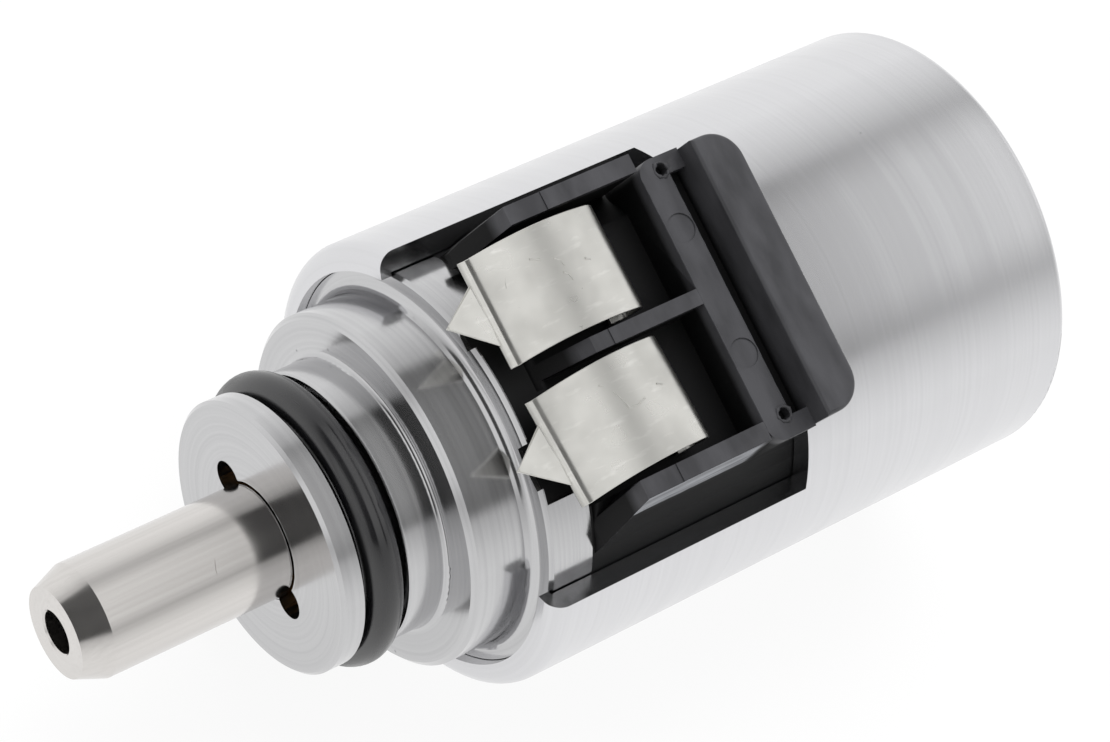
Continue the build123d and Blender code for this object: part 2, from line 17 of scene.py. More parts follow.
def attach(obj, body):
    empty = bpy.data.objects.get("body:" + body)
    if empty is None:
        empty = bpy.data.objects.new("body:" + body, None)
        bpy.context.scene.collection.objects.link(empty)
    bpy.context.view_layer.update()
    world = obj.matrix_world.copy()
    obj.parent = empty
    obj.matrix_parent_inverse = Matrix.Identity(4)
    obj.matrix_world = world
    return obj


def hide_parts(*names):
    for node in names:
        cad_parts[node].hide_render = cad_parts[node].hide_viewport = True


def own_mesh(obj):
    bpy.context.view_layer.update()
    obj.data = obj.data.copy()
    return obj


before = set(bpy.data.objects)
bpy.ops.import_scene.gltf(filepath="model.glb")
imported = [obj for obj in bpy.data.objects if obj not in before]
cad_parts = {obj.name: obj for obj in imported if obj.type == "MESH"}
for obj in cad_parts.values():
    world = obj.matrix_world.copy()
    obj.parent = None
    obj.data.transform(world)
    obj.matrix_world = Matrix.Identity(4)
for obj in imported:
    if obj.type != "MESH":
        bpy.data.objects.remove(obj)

MM = 0.001
log = logging.getLogger("valve")

# What an input is linked from; a node stands for its first output
Source = bpy.types.NodeSocket | bpy.types.Node
Point = tuple[float, float, float]


def linear(hex_colour: str) -> tuple[float, float, float, float]:
    """Turn an sRGB hex colour into Blender's linear RGBA.

    Args:
        hex_colour: Six hex digits, such as "c8c9cb".

    Returns:
        Linear red, green and blue, with an alpha of 1.
    """
    parts = [int(hex_colour[i:i + 2], 16) / 255 for i in (0, 2, 4)]
    red, green, blue = [p / 12.92 if p <= 0.04045 else ((p + 0.055) / 1.055) ** 2.4 for p in parts]
    return red, green, blue, 1.0


def fill(node: bpy.types.Node, inputs: dict) -> None:
    """Set a node's inputs, and link those that a source is given for.

    Args:
        node: The node.
        inputs: Input name or number to a value, or to the source that it is linked from.
    """
    for key, value in inputs.items():
        if isinstance(value, bpy.types.Node):
            value = value.outputs[0]
        if isinstance(value, bpy.types.NodeSocket):
            node.id_data.links.new(value, node.inputs[key])
        else:
            node.inputs[key].default_value = value


def add(tree: bpy.types.NodeTree, kind: str, inputs: dict | None = None,
        **settings: object) -> bpy.types.Node:
    """Add a node with its settings and links.

    In a Map Range node, inputs 1 and 2 are the range of the value and 3 and 4 that of the result. In
    a Mix node, input 0 is the share of the second value, 2 and 3 are numbers, and 6 and 7 colours.

    Args:
        tree: The node tree that the node goes into.
        kind: The node's type, such as "ShaderNodeMath".
        inputs: What goes into its inputs, as for fill.
        settings: The node's own properties.

    Returns:
        The new node.
    """
    node = tree.nodes.new(kind)
    for name, value in settings.items():
        setattr(node, name, value)
    fill(node, inputs or {})
    return node


def put(name: str, data: bpy.types.ID) -> bpy.types.Object:
    """Make an object of some data, in the scene.

    Args:
        name: The object's name.
        data: Its mesh, light or camera.

    Returns:
        The object.
    """
    thing = bpy.data.objects.new(name, data)
    bpy.context.scene.collection.objects.link(thing)
    return thing


class Lay(Enum):
    """The way in which a surface's tool marks run."""

    ROUND = "round the valve's axis"
    ALONG = "along the valve's axis"


@dataclass
class Surface:
    """A material's node tree with the surface point in it, and patterns of a real size.

    Attributes:
        tree: The material's node tree.
    """

    tree: bpy.types.NodeTree

    def __post_init__(self) -> None:
        """Take the surface point in millimetres from Object coordinates."""
        point = add(self.tree, "ShaderNodeTexCoord").outputs["Object"]
        self.point = add(self.tree, "ShaderNodeVectorMath", {0: point, "Scale": 1 / MM},
                         operation="SCALE")

    def grain(self, size_mm: float, detail: float = 2.0, stretch: Point = (1, 1, 1),
              point: Source | None = None) -> Source:
        """A cloudy pattern.

        Args:
            size_mm: The distance from one light place to the next.
            detail: How many finer layers lie on it.
            stretch: How much longer the pattern is along X, Y and Z.
            point: Where it is read, if not at the surface point.

        Returns:
            A factor, from 0 to 1.
        """
        scale = tuple(1 / (size_mm * s) for s in stretch)
        read_at = self.point if point is None else point
        scaled = add(self.tree, "ShaderNodeVectorMath", {0: read_at, 1: scale}, operation="MULTIPLY")
        return add(self.tree, "ShaderNodeTexNoise", {"Vector": scaled, "Scale": 1.0, "Detail": detail})

    def specks(self, spacing_mm: float, size_mm: float, share: float) -> Source:
        """Small scattered spots, such as nicks and tarnish.

        Args:
            spacing_mm: The mean distance between places for a spot.
            size_mm: The spots' radius.
            share: How many of the places have one, from 0 to 1.

        Returns:
            A factor, 1 in a spot.
        """
        bent = self.bent(size_mm * 2, size_mm)
        cells = add(self.tree, "ShaderNodeTexVoronoi", {"Vector": bent, "Scale": 1 / spacing_mm})
        size = size_mm / spacing_mm
        near = add(self.tree, "ShaderNodeMapRange", {0: cells.outputs["Distance"], 1: size, 2: 0.5 * size})
        pick = add(self.tree, "ShaderNodeSeparateColor", {0: cells.outputs["Color"]})
        chosen = add(self.tree, "ShaderNodeMath", {0: pick, 1: share}, operation="LESS_THAN")
        return add(self.tree, "ShaderNodeMath", {0: near, 1: chosen}, operation="MULTIPLY")

    def hairlines(self, spacing_mm: float, width_mm: float, cover: float) -> Source:
        """Short curved scratches.

        Args:
            spacing_mm: The mean distance between scratches.
            width_mm: Their width.
            cover: The noise level above which scratches show; higher means fewer.

        Returns:
            A factor, 1 in a scratch.
        """
        bent = self.bent(spacing_mm, spacing_mm * 0.5)
        cells = add(self.tree, "ShaderNodeTexVoronoi", {"Vector": bent, "Scale": 1 / spacing_mm},
                    feature="DISTANCE_TO_EDGE")
        width = width_mm / spacing_mm
        line = add(self.tree, "ShaderNodeMapRange", {0: cells.outputs["Distance"], 1: width, 2: 0.3 * width})
        field = self.grain(spacing_mm * 0.7, detail=1)
        shown = add(self.tree, "ShaderNodeMapRange", {0: field, 1: cover, 2: cover + 0.04})
        return add(self.tree, "ShaderNodeMath", {0: line, 1: shown}, operation="MULTIPLY")

    def bent(self, size_mm: float, reach_mm: float) -> Source:
        """The surface point pushed about by noise, so that a pattern on it gets wavy outlines.

        Args:
            size_mm: The waves' size.
            reach_mm: How far they push.

        Returns:
            A vector.
        """
        scaled = add(self.tree, "ShaderNodeVectorMath", {0: self.point, "Scale": 1 / size_mm},
                     operation="SCALE")
        noise = add(self.tree, "ShaderNodeTexNoise", {"Vector": scaled, "Scale": 1.0, "Detail": 2.0})
        centred = add(self.tree, "ShaderNodeVectorMath", {0: noise.outputs["Color"], 1: (0.5, 0.5, 0.5)},
                      operation="SUBTRACT")
        push = add(self.tree, "ShaderNodeVectorMath", {0: centred, "Scale": reach_mm * 2}, operation="SCALE")
        return add(self.tree, "ShaderNodeVectorMath", {0: self.point, 1: push}, operation="ADD")

    def unrolled(self) -> Source:
        """The surface point as place along the axis, way round it and distance from it.

        Returns:
            A vector.
        """
        split = add(self.tree, "ShaderNodeSeparateXYZ", {0: self.point})
        spoke = add(self.tree, "ShaderNodeVectorMath", {0: self.point, 1: (0, 1, 1)}, operation="MULTIPLY")
        radius = add(self.tree, "ShaderNodeVectorMath", {0: spoke}, operation="LENGTH").outputs["Value"]
        turn = add(self.tree, "ShaderNodeMath", {0: split.outputs["Y"], 1: split.outputs["Z"]},
                   operation="ARCTAN2")
        way = add(self.tree, "ShaderNodeMath", {0: turn, 1: radius}, operation="MULTIPLY")
        return add(self.tree, "ShaderNodeCombineXYZ", {0: split.outputs["X"], 1: way, 2: radius})


@dataclass(frozen=True)
class Finish:
    """What every finish shares: a real material's name, its colour and its gloss.

    Attributes:
        name: The material's common name and how its surface was made.
        colour: Its sRGB hex colour.
        roughness: The shader's roughness.
        metallic: 1 for a metal, 0 for anything else.
        grain_mm: The size of its finest visible pattern.
        relief_mm: How deep that pattern is.
    """

    name: str
    colour: str
    roughness: float
    metallic: float = 0.0
    grain_mm: float = 0.3
    relief_mm: float = 0.01

    def material(self) -> bpy.types.Material:
        """Build the finish as a node material.

        Returns:
            The material, with its shader linked to the output.
        """
        material = bpy.data.materials.new(self.name)
        material.use_nodes = True
        tree = material.node_tree
        tree.nodes.clear()
        shader = add(tree, "ShaderNodeBsdfPrincipled", {
            "Base Color": linear(self.colour),
            "Roughness": self.roughness,
            "Metallic": self.metallic,
        })
        inputs = self.dress(Surface(tree))
        bump = add(tree, "ShaderNodeBump", {"Height": inputs.pop("Height"), "Distance": self.relief_mm * MM})
        fill(shader, {**inputs, "Normal": bump})
        add(tree, "ShaderNodeOutputMaterial", {"Surface": shader.outputs["BSDF"]})
        return material

    def shared(self) -> bpy.types.Material:
        """The finish's one material, built on first use."""
        return bpy.data.materials.get(self.name) or self.material()

    def dress(self, on: Surface) -> dict[str, object]:
        """Lay the finish's patterns on a surface.

        Args:
            on: The surface.

        Returns:
            The shader's inputs, and under Height the relief's height.
        """
        raise NotImplementedError


@dataclass(frozen=True)
class MachinedMetal(Finish):
    """A metal with fine tool marks, such as a turned collar or a ground pin.

    Attributes:
        lay: The way in which the marks run.
        anisotropy: How much the marks stretch a highlight.
        worn: The colour of handling scratches and nicks.
        streaks: How strongly the marks darken the colour, from 0 to 1.
        nick_share: How many places have a nick, from 0 to 1.
        scratch_cover: The noise level above which hairline scratches show.
    """

    metallic: float = 1.0
    lay: Lay = Lay.ROUND
    anisotropy: float = 0.3
    worn: str = "8a8a8b"
    streaks: float = 0.2
    nick_share: float = 0.1
    scratch_cover: float = 0.68

    def dress(self, on: Surface) -> dict[str, object]:
        """Tool marks, bands, nicks and scratches."""
        tree = on.tree
        unrolled = on.unrolled()
        # Marks hundreds of times as long as they are wide
        long_way = (1, 300, 1) if self.lay is Lay.ROUND else (60, 1, 1)
        marks = on.grain(self.grain_mm, 3, long_way, unrolled)
        bands = on.grain(self.grain_mm * 6, 2, long_way, unrolled)
        nicks = on.specks(spacing_mm=2.2, size_mm=0.13, share=self.nick_share)
        scratches = on.hairlines(spacing_mm=4.5, width_mm=0.05, cover=self.scratch_cover)
        flaws = add(tree, "ShaderNodeMath", {0: nicks, 1: scratches}, operation="MAXIMUM")

        dim = add(tree, "ShaderNodeMapRange", {0: marks, 1: 0.4, 2: 0.7, 4: self.streaks})
        spoiled = add(tree, "ShaderNodeMath", {0: flaws, 1: 0.75}, operation="MULTIPLY")
        shown = add(tree, "ShaderNodeMath", {0: dim, 1: spoiled}, operation="MAXIMUM")
        colour = add(tree, "ShaderNodeMix", {0: shown, 6: linear(self.colour), 7: linear(self.worn)},
                     data_type="RGBA").outputs[2]
        pressed = add(tree, "ShaderNodeMath", {0: marks, 1: flaws}, operation="SUBTRACT")
        gloss = add(tree, "ShaderNodeMapRange", {
            0: bands, 1: 0.3, 2: 0.7, 3: self.roughness * 0.85, 4: self.roughness * 1.15,
        })
        tangent = add(tree, "ShaderNodeVectorMath", {0: (1, 0, 0), 1: on.point}, operation="CROSS_PRODUCT")
        return {"Base Color": colour, "Height": pressed, "Roughness": gloss, "Anisotropic": self.anisotropy,
                "Tangent": tangent}


@dataclass(frozen=True)
class PlatedStrip(Finish):
    """Silver-plated copper alloy: pale satin, with rubbed scratches and tarnish specks.

    Attributes:
        tarnish: The colour of specks, scratches and cloudy tarnish.
        rubbed: The colour of rubbed places.
    """

    metallic: float = 1.0
    tarnish: str = "6f6d68"
    rubbed: str = "f3f2ee"

    def dress(self, on: Surface) -> dict[str, object]:
        """Rolling grain, dents, rub marks and specks."""
        tree = on.tree
        grain = on.grain(self.grain_mm, 3, (1, 8, 1))
        dents = on.grain(1.7)
        cloud = on.grain(2.6)
        rub = on.grain(0.5, 3, (4, 1, 1))
        specks = on.specks(spacing_mm=0.9, size_mm=0.06, share=0.14)
        scratches = on.hairlines(spacing_mm=2.4, width_mm=0.045, cover=0.7)
        flaws = add(tree, "ShaderNodeMath", {0: specks, 1: scratches}, operation="MAXIMUM")

        bright = add(tree, "ShaderNodeMapRange", {0: rub, 1: 0.58, 2: 0.75, 4: 0.5})
        plated = add(tree, "ShaderNodeMix", {0: bright, 6: linear(self.colour), 7: linear(self.rubbed)},
                     data_type="RGBA").outputs[2]
        clouded = add(tree, "ShaderNodeMapRange", {0: cloud, 1: 0.42, 2: 0.68, 4: 0.12})
        spoiled = add(tree, "ShaderNodeMath", {0: flaws, 1: 0.7}, operation="MULTIPLY")
        dull = add(tree, "ShaderNodeMath", {0: clouded, 1: spoiled}, operation="MAXIMUM")
        colour = add(tree, "ShaderNodeMix", {0: dull, 6: plated, 7: linear(self.tarnish)}, data_type="RGBA")
        deep = add(tree, "ShaderNodeMath", {0: dents, 1: 6.0, 2: grain}, operation="MULTIPLY_ADD")
        pressed = add(tree, "ShaderNodeMath", {0: deep, 1: flaws}, operation="SUBTRACT")
        gloss = add(tree, "ShaderNodeMapRange", {
            0: cloud, 1: 0.3, 2: 0.7, 3: self.roughness * 0.85, 4: self.roughness * 1.2,
        })
        return {"Base Color": colour.outputs[2], "Height": pressed, "Roughness": gloss}


@dataclass(frozen=True)
class MouldedPlastic(Finish):
    """Glass-filled polyamide: black, with a fine spark-eroded grain and grey rubbed places.

    Attributes:
        rubbed: The colour of the rubbed places.
        glance: The specular level, higher where glass fibres lie at the skin.
    """

    rubbed: str = "303033"
    glance: float = 0.75

    def dress(self, on: Surface) -> dict[str, object]:
        """Mould grain, pits and rubbed places."""
        rub = on.grain(1.6, 4, (1, 3, 1))
        grain = on.grain(self.grain_mm, 3)
        pits = on.specks(spacing_mm=1.4, size_mm=0.09, share=0.15)
        pressed = add(on.tree, "ShaderNodeMath", {0: grain, 1: pits}, operation="SUBTRACT")
        return {"Base Color": self.tint(on, rub), "Height": pressed, "Roughness": self.dullness(on, rub),
                "Specular IOR Level": self.glance}

    def dullness(self, on: Surface, rub: Source) -> Source:
        """The roughness, uneven where the plastic is rubbed.

        Args:
            on: The surface.
            rub: A factor, high where the plastic is rubbed.

        Returns:
            A factor.
        """
        return add(on.tree, "ShaderNodeMapRange", {
            0: rub, 1: 0.3, 2: 0.7, 3: self.roughness * 0.85, 4: self.roughness * 1.2,
        })

    def tint(self, on: Surface, rub: Source) -> Source:
        """The base colour, greyer where it is rubbed.

        Args:
            on: The surface.
            rub: A factor, high where the plastic is rubbed.

        Returns:
            A colour.
        """
        share = add(on.tree, "ShaderNodeMapRange", {0: rub, 1: 0.5, 2: 0.75, 4: 0.6})
        return add(on.tree, "ShaderNodeMix", {0: share, 6: linear(self.colour), 7: linear(self.rubbed)},
                   data_type="RGBA").outputs[2]


@dataclass(frozen=True)
class PaintedLightPlastic(MouldedPlastic):
    """The carrier's polyamide, with a painted sheen, uneven with rubbing, on its tops and a painted
    reflection along the right rib's outer side.

    Attributes:
        top: The colour of the tops of ribs, bar and saddle: a painted sheen, lighter than the moulding.
        top_z: The height over which they lie, in millimetres.
        pocket_roughness: The roughness below that height.
        reflection_colour: The pale colour of the painted reflection along the right rib's outer side.
        reflection_y: How far out the painted reflection starts, in millimetres.
        reflection_foot: How far down it goes, in millimetres.
        reflection_rear: Where it ends along the valve, in millimetres.
        reflection_turn: How much the side faces outwards, as the least part of its normal along -Y.
    """

    # The tops' colour is a painted sheen
    top: str = "454548"
    top_z: float = 14.0
    pocket_roughness: float = 0.6
    # The pale colour of a painted reflection on the right rib's outer side
    reflection_colour: str = "a6a8ad"
    reflection_y: float = -8.9
    reflection_foot: float = 11.7
    reflection_rear: float = 16.6
    reflection_turn: float = 0.6

    def over_top(self, on: Surface) -> Source:
        """A factor that is 1 over top_z."""
        height = add(on.tree, "ShaderNodeSeparateXYZ", {0: on.point}).outputs["Z"]
        return add(on.tree, "ShaderNodeMapRange", {0: height, 1: self.top_z - 0.3, 2: self.top_z + 0.3})

    def dullness(self, on: Surface, rub: Source) -> Source:
        """The roughness, lower on the tops."""
        return add(on.tree, "ShaderNodeMix", {
            0: self.over_top(on), 2: self.pocket_roughness, 3: super().dullness(on, rub),
        })

    def reflected_side(self, on: Surface) -> Source:
        """Where the right rib's outer side is painted pale, as a painted reflection.

        Args:
            on: The surface.

        Returns:
            A factor, streaky where it isn't 0.
        """
        place = add(on.tree, "ShaderNodeSeparateXYZ", {0: on.bent(0.9, 0.16)})
        normal = add(on.tree, "ShaderNodeNewGeometry").outputs["True Normal"]
        facing = add(on.tree, "ShaderNodeSeparateXYZ", {0: normal})
        streak = on.grain(0.5, 3, (9, 1, 1))
        factor = add(on.tree, "ShaderNodeMapRange", {0: streak, 1: 0.35, 2: 0.6, 3: 0.5})
        # Each edge of the painted reflection's area, with the values at which it starts and is complete
        edges = (
            (place.outputs["Y"], self.reflection_y, self.reflection_y - 0.05),
            (place.outputs["Z"], self.reflection_foot - 0.12, self.reflection_foot + 0.12),
            (place.outputs["X"], self.reflection_rear + 0.3, self.reflection_rear - 0.3),
            (facing.outputs["Y"], 0.02 - self.reflection_turn, -0.02 - self.reflection_turn),
        )
        for value, start, full in edges:
            inside = add(on.tree, "ShaderNodeMapRange", {0: value, 1: start, 2: full})
            factor = add(on.tree, "ShaderNodeMath", {0: factor, 1: inside}, operation="MULTIPLY")
        return factor

    def tint(self, on: Surface, rub: Source) -> Source:
        """The moulding's colour with the painted sheen on its tops and the painted reflection on the rib's
        side laid over it.
        """
        # Over top_z the colour turns lighter: a painted sheen for the bright tent that the tops mirror, made
        # uneven by the rub noise
        rubbed_sheen_share = add(on.tree, "ShaderNodeMapRange", {0: rub, 1: 0.35, 2: 0.65, 3: 0.6})
        greyer = add(on.tree, "ShaderNodeMath", {0: rubbed_sheen_share, 1: self.over_top(on)}, operation="MULTIPLY")
        plain = add(on.tree, "ShaderNodeMix", {0: greyer, 6: linear(self.colour), 7: linear(self.top)},
                    data_type="RGBA").outputs[2]
        # The right rib's outer side is painted pale: a painted reflection of the bright floor and tent on
        # its edge
        return add(on.tree, "ShaderNodeMix", {0: self.reflected_side(on), 6: plain, 7: linear(self.reflection_colour)},
                   data_type="RGBA").outputs[2]


@dataclass(frozen=True)
class OiledRubber(Finish):
    """Fluorocarbon rubber wiped with oil: black, with sharp and broken highlights.

    Attributes:
        dust: The colour of the dust specks that stick to it.
        film: The specular level, raised by the oil.
    """

    dust: str = "5a5a5c"
    film: float = 0.85

    def dress(self, on: Surface) -> dict[str, object]:
        """The oil's smears, and dust."""
        smear = on.grain(0.9, 3, (1, 6, 1), on.unrolled())
        dust = on.specks(spacing_mm=0.8, size_mm=0.05, share=0.15)
        pressed = add(on.tree, "ShaderNodeMath", {0: smear, 1: dust}, operation="SUBTRACT")
        gloss = add(on.tree, "ShaderNodeMapRange", {
            0: smear, 1: 0.35, 2: 0.65, 3: self.roughness * 0.6, 4: self.roughness * 1.8,
        })
        colour = add(on.tree, "ShaderNodeMix", {0: dust, 6: linear(self.colour), 7: linear(self.dust)},
                     data_type="RGBA").outputs[2]
        return {"Base Color": colour, "Height": pressed, "Roughness": gloss, "Specular IOR Level": self.film}


@dataclass(frozen=True)
class PorousBronze(Finish):
    """Sintered bronze: brown gold with open pores.

    Attributes:
        pore: The colour of a pore.
    """

    metallic: float = 1.0
    pore: str = "5a3d1c"

    def dress(self, on: Surface) -> dict[str, object]:
        """Sunken pores."""
        pores = on.specks(spacing_mm=self.grain_mm, size_mm=self.grain_mm * 0.3, share=0.6)
        sunk = add(on.tree, "ShaderNodeMath", {0: 1.0, 1: pores}, operation="SUBTRACT")
        colour = add(on.tree, "ShaderNodeMix", {0: pores, 6: linear(self.colour), 7: linear(self.pore)},
                     data_type="RGBA").outputs[2]
        return {"Base Color": colour, "Height": sunk}


@dataclass(frozen=True)
class WireEnamel(Finish):
    """Enamelled copper wire: red gold under a clear coat.

    Attributes:
        shade: The darker tint where the enamel is thick.
    """

    metallic: float = 1.0
    shade: str = "7c3419"

    def dress(self, on: Surface) -> dict[str, object]:
        """The enamel's uneven tint, under a clear coat."""
        tint = on.grain(self.grain_mm)
        share = add(on.tree, "ShaderNodeMapRange", {0: tint, 1: 0.4, 2: 0.7, 4: 0.4})
        colour = add(on.tree, "ShaderNodeMix", {0: share, 6: linear(self.colour), 7: linear(self.shade)},
                     data_type="RGBA").outputs[2]
        return {"Base Color": colour, "Height": tint, "Coat Weight": 0.5, "Coat Roughness": 0.1}


# Drawn and turned low-carbon steel: pale satin, its faint round marks draw soft bands along the can
CAN_STEEL = MachinedMetal("turned_can_steel", "d9d9db", 0.2, grain_mm=0.25, relief_mm=0.0003,
                          anisotropy=0.25, worn="858586", streaks=0.05, nick_share=0.06, scratch_cover=0.8)
# Free-cutting steel as it comes off the lathe: clear rings, dark in its corners
NOSE_STEEL = MachinedMetal("turned_nose_steel", "c6c6c7", 0.17, grain_mm=0.3, relief_mm=0.00025,
                           anisotropy=0.05, worn="87878a", streaks=0.16, nick_share=0.14, scratch_cover=0.8)
# Hardened steel, centreless ground: bright and smooth, slightly warm, with a few marks along it
PIN_STEEL = MachinedMetal("ground_pin_steel", "d6d3d0", 0.17, grain_mm=0.3, relief_mm=0.0003, anisotropy=0.2,
                          worn="948f8b", streaks=0.1, nick_share=0.12, scratch_cover=0.76, lay=Lay.ALONG)
# Copper alloy strip, silver plated: pale satin with scratches and a slightly warm cast
CONTACT_SILVER = PlatedStrip("silver_plated_strip", "dad9d4", 0.3, grain_mm=0.15, relief_mm=0.0006)
# Glass-filled polyamide: deep black that turns grey where light grazes it; that grey is painted in, as a
# painted sheen on its tops and a painted reflection on the right rib's outer side
CARRIER_PLASTIC = PaintedLightPlastic("moulded_black_polyamide", "0a0a0b", 0.36, grain_mm=0.14, relief_mm=0.0025,
                                 glance=0.32)
# Fluorocarbon rubber, oiled for fitting: black with sharp highlights
SEAL_RUBBER = OiledRubber("oiled_fluorocarbon_rubber", "161618", 0.2, grain_mm=0.4, relief_mm=0.004)
# Soft magnetic iron: plain grey turned metal
CORE_IRON = MachinedMetal("soft_magnetic_iron", "8f8f92", 0.36, grain_mm=0.3, relief_mm=0.001, worn="6b6b6d")
# Spring steel strip and wire: darker and smoother
SPRING_STEEL = MachinedMetal("bright_spring_steel", "9c9ea2", 0.28, grain_mm=0.3, relief_mm=0.0005,
                             worn="77797c")
# Sintered bronze: brown gold with open pores
BUSH_BRONZE = PorousBronze("sintered_bronze", "a5783f", 0.45, grain_mm=0.25, relief_mm=0.01)
# Rolled brass shim: yellow and fairly bright
SHIM_BRASS = MachinedMetal("rolled_brass_shim", "c9a152", 0.3, grain_mm=0.3, relief_mm=0.0005, worn="9a7a3c")
# Moulded polyamide of the bobbin: black and plain
BOBBIN_PLASTIC = MouldedPlastic("moulded_bobbin_polyamide", "202022", 0.45, grain_mm=0.2, relief_mm=0.004)
# Enamelled copper wire: turns of red gold
WINDING_COPPER = WireEnamel("enamelled_copper_wire", "b4572f", 0.26, grain_mm=0.6, relief_mm=0.002)
# Plain turned steel of the plug
PLUG_STEEL = MachinedMetal("turned_plug_steel", "a9a9ac", 0.3, grain_mm=0.25, relief_mm=0.001, worn="7b7b7d")


@dataclass
class NodeShape:
    """A Geometry Nodes tree with named inputs, and the plain meshes that it makes.

    Attributes:
        name: What the tree makes.
        sharp_from: Edges bent by more than this many degrees are shaded sharp.
    """

    name: str
    sharp_from: float = 50.0

    def __post_init__(self) -> None:
        """Start the tree with its geometry input and output, and grow its nodes."""
        self.tree = bpy.data.node_groups.new(self.name, "GeometryNodeTree")
        self.tree.interface.new_socket(name="Geometry", in_out="INPUT", socket_type="NodeSocketGeometry")
        self.tree.interface.new_socket(name="Geometry", in_out="OUTPUT", socket_type="NodeSocketGeometry")
        self.inputs = add(self.tree, "NodeGroupInput")
        real = add(self.tree, "GeometryNodeRealizeInstances", {0: self.grow(self.tree)})
        material = self.size("Material", "Material")
        dressed = add(self.tree, "GeometryNodeSetMaterial", {0: real, "Material": material})
        add(self.tree, "NodeGroupOutput", {0: dressed})

    def grow(self, tree: bpy.types.NodeTree) -> Source:
        """Add the nodes of this shape.

        Args:
            tree: The shape's node tree.

        Returns:
            The socket with the finished geometry.
        """
        raise NotImplementedError

    def size(self, name: str, kind: str = "Float") -> Source:
        """Add a named input to the tree.

        Args:
            name: Its name.
            kind: Float, Int, Vector or Material.

        Returns:
            The socket that carries it into the tree.
        """
        self.tree.interface.new_socket(name=name, in_out="INPUT", socket_type=f"NodeSocket{kind}")
        return self.inputs.outputs[name]

    def make(self, name: str, finish: Finish, sizes: dict[str, object],
             path: list[Point] | None = None, closed: bool = False) -> bpy.types.Object:
        """Run the tree once and keep its result as a plain mesh.

        Args:
            name: The new piece's name.
            finish: What it is made of.
            sizes: Values for the named inputs.
            path: Points in metres that the shape follows, if it follows any.
            closed: Whether the path's end meets its start.

        Returns:
            The piece, with no modifier left on it.
        """
        points = path or []
        edges = [(i, i + 1) for i in range(len(points) - 1)]
        if closed:
            edges.append((len(points) - 1, 0))
        base = bpy.data.meshes.new(f"{name}_path")
        base.from_pydata(points, edges, [])
        piece = put(name, base)
        modifier = piece.modifiers.new(self.name, "NODES")
        modifier.node_group = self.tree
        values = {**sizes, "Material": finish.shared()}
        for item in self.tree.interface.items_tree:
            if item.in_out == "INPUT" and item.name in values:
                modifier[item.identifier] = values[item.name]
        bpy.context.view_layer.update()
        graph = bpy.context.evaluated_depsgraph_get()
        plain = bpy.data.meshes.new_from_object(piece.evaluated_get(graph), depsgraph=graph)
        piece.modifiers.clear()
        piece.data = plain
        bpy.data.meshes.remove(base)
        plain.name = name
        plain.shade_smooth()
        plain.set_sharp_from_angle(angle=math.radians(self.sharp_from))
        log.info("%s: %d faces", name, len(plain.polygons))
        return piece


class RaggedBead(NodeShape):
    """A thin uneven bead along a path, such as a mould's flash or a turned burr.

    Its inputs are Step along the path, and Thin and Thick for its radius, all in metres, and Seed.
    """

    def grow(self, tree: bpy.types.NodeTree) -> Source:
        """Sweep a small circle of changing size along the path."""
        curve = add(tree, "GeometryNodeMeshToCurve", {0: self.inputs.outputs["Geometry"]})
        even = add(tree, "GeometryNodeResampleCurve", {0: curve, "Length": self.size("Step")}, mode="LENGTH")
        radius = add(tree, "FunctionNodeRandomValue", {2: self.size("Thin"), 3: self.size("Thick"),
                                                       "Seed": self.size("Seed", "Int")}).outputs[1]
        profile = add(tree, "GeometryNodeCurvePrimitiveCircle", {"Resolution": 8, "Radius": 1.0})
        return add(tree, "GeometryNodeCurveToMesh", {0: even, 1: profile, "Scale": radius,
                                                     "Fill Caps": True})


class EdgeCrumbs(NodeShape):
    """Small raised nicks scattered along a path, such as a turned edge.

    Its inputs are Step between places and Share of them that have one, the crumbs' Small and Large
    radius along X, Y and Z in metres, and Seed.
    """

    def grow(self, tree: bpy.types.NodeTree) -> Source:
        """Put small lumps at random places of the path."""
        seed = self.size("Seed", "Int")
        curve = add(tree, "GeometryNodeMeshToCurve", {0: self.inputs.outputs["Geometry"]})
        places = add(tree, "GeometryNodeCurveToPoints", {0: curve, "Length": self.size("Step")},
                     mode="LENGTH")
        pick = add(tree, "FunctionNodeRandomValue", {"Probability": self.size("Share"), "Seed": seed},
                   data_type="BOOLEAN").outputs[3]
        scale = add(tree, "FunctionNodeRandomValue", {0: self.size("Small", "Vector"),
                                                      1: self.size("Large", "Vector"), "Seed": seed},
                    data_type="FLOAT_VECTOR")
        crumb = add(tree, "GeometryNodeMeshIcoSphere", {"Radius": 1.0, "Subdivisions": 2})
        return add(tree, "GeometryNodeInstanceOnPoints", {
            "Points": places.outputs["Points"],
            "Selection": pick,
            "Instance": crumb,
            "Rotation": places.outputs["Rotation"],
            "Scale": scale,
        })


class WireTurns(NodeShape):
    """Turns of wire beside each other along X.

    Its inputs are Start and Pitch along X, the turns' Radius and the Wire's, all in metres, and Turns.
    """

    def grow(self, tree: bpy.types.NodeTree) -> Source:
        """Repeat one ring of wire along the axis."""
        start = add(tree, "ShaderNodeCombineXYZ", {0: self.size("Start")})
        pitch = add(tree, "ShaderNodeCombineXYZ", {0: self.size("Pitch")})
        row = add(tree, "GeometryNodeMeshLine", {"Count": self.size("Turns", "Int"), "Start Location": start,
                                                 "Offset": pitch})
        loop, wire = (add(tree, "GeometryNodeCurvePrimitiveCircle", {
            "Resolution": corners,
            "Radius": self.size(name),
        }) for name, corners in (("Radius", 60), ("Wire", 6)))
        turn = add(tree, "GeometryNodeCurveToMesh", {0: loop, 1: wire})
        return add(tree, "GeometryNodeInstanceOnPoints", {"Points": row, "Instance": turn,
                                                          "Rotation": (0, math.radians(90), 0)})


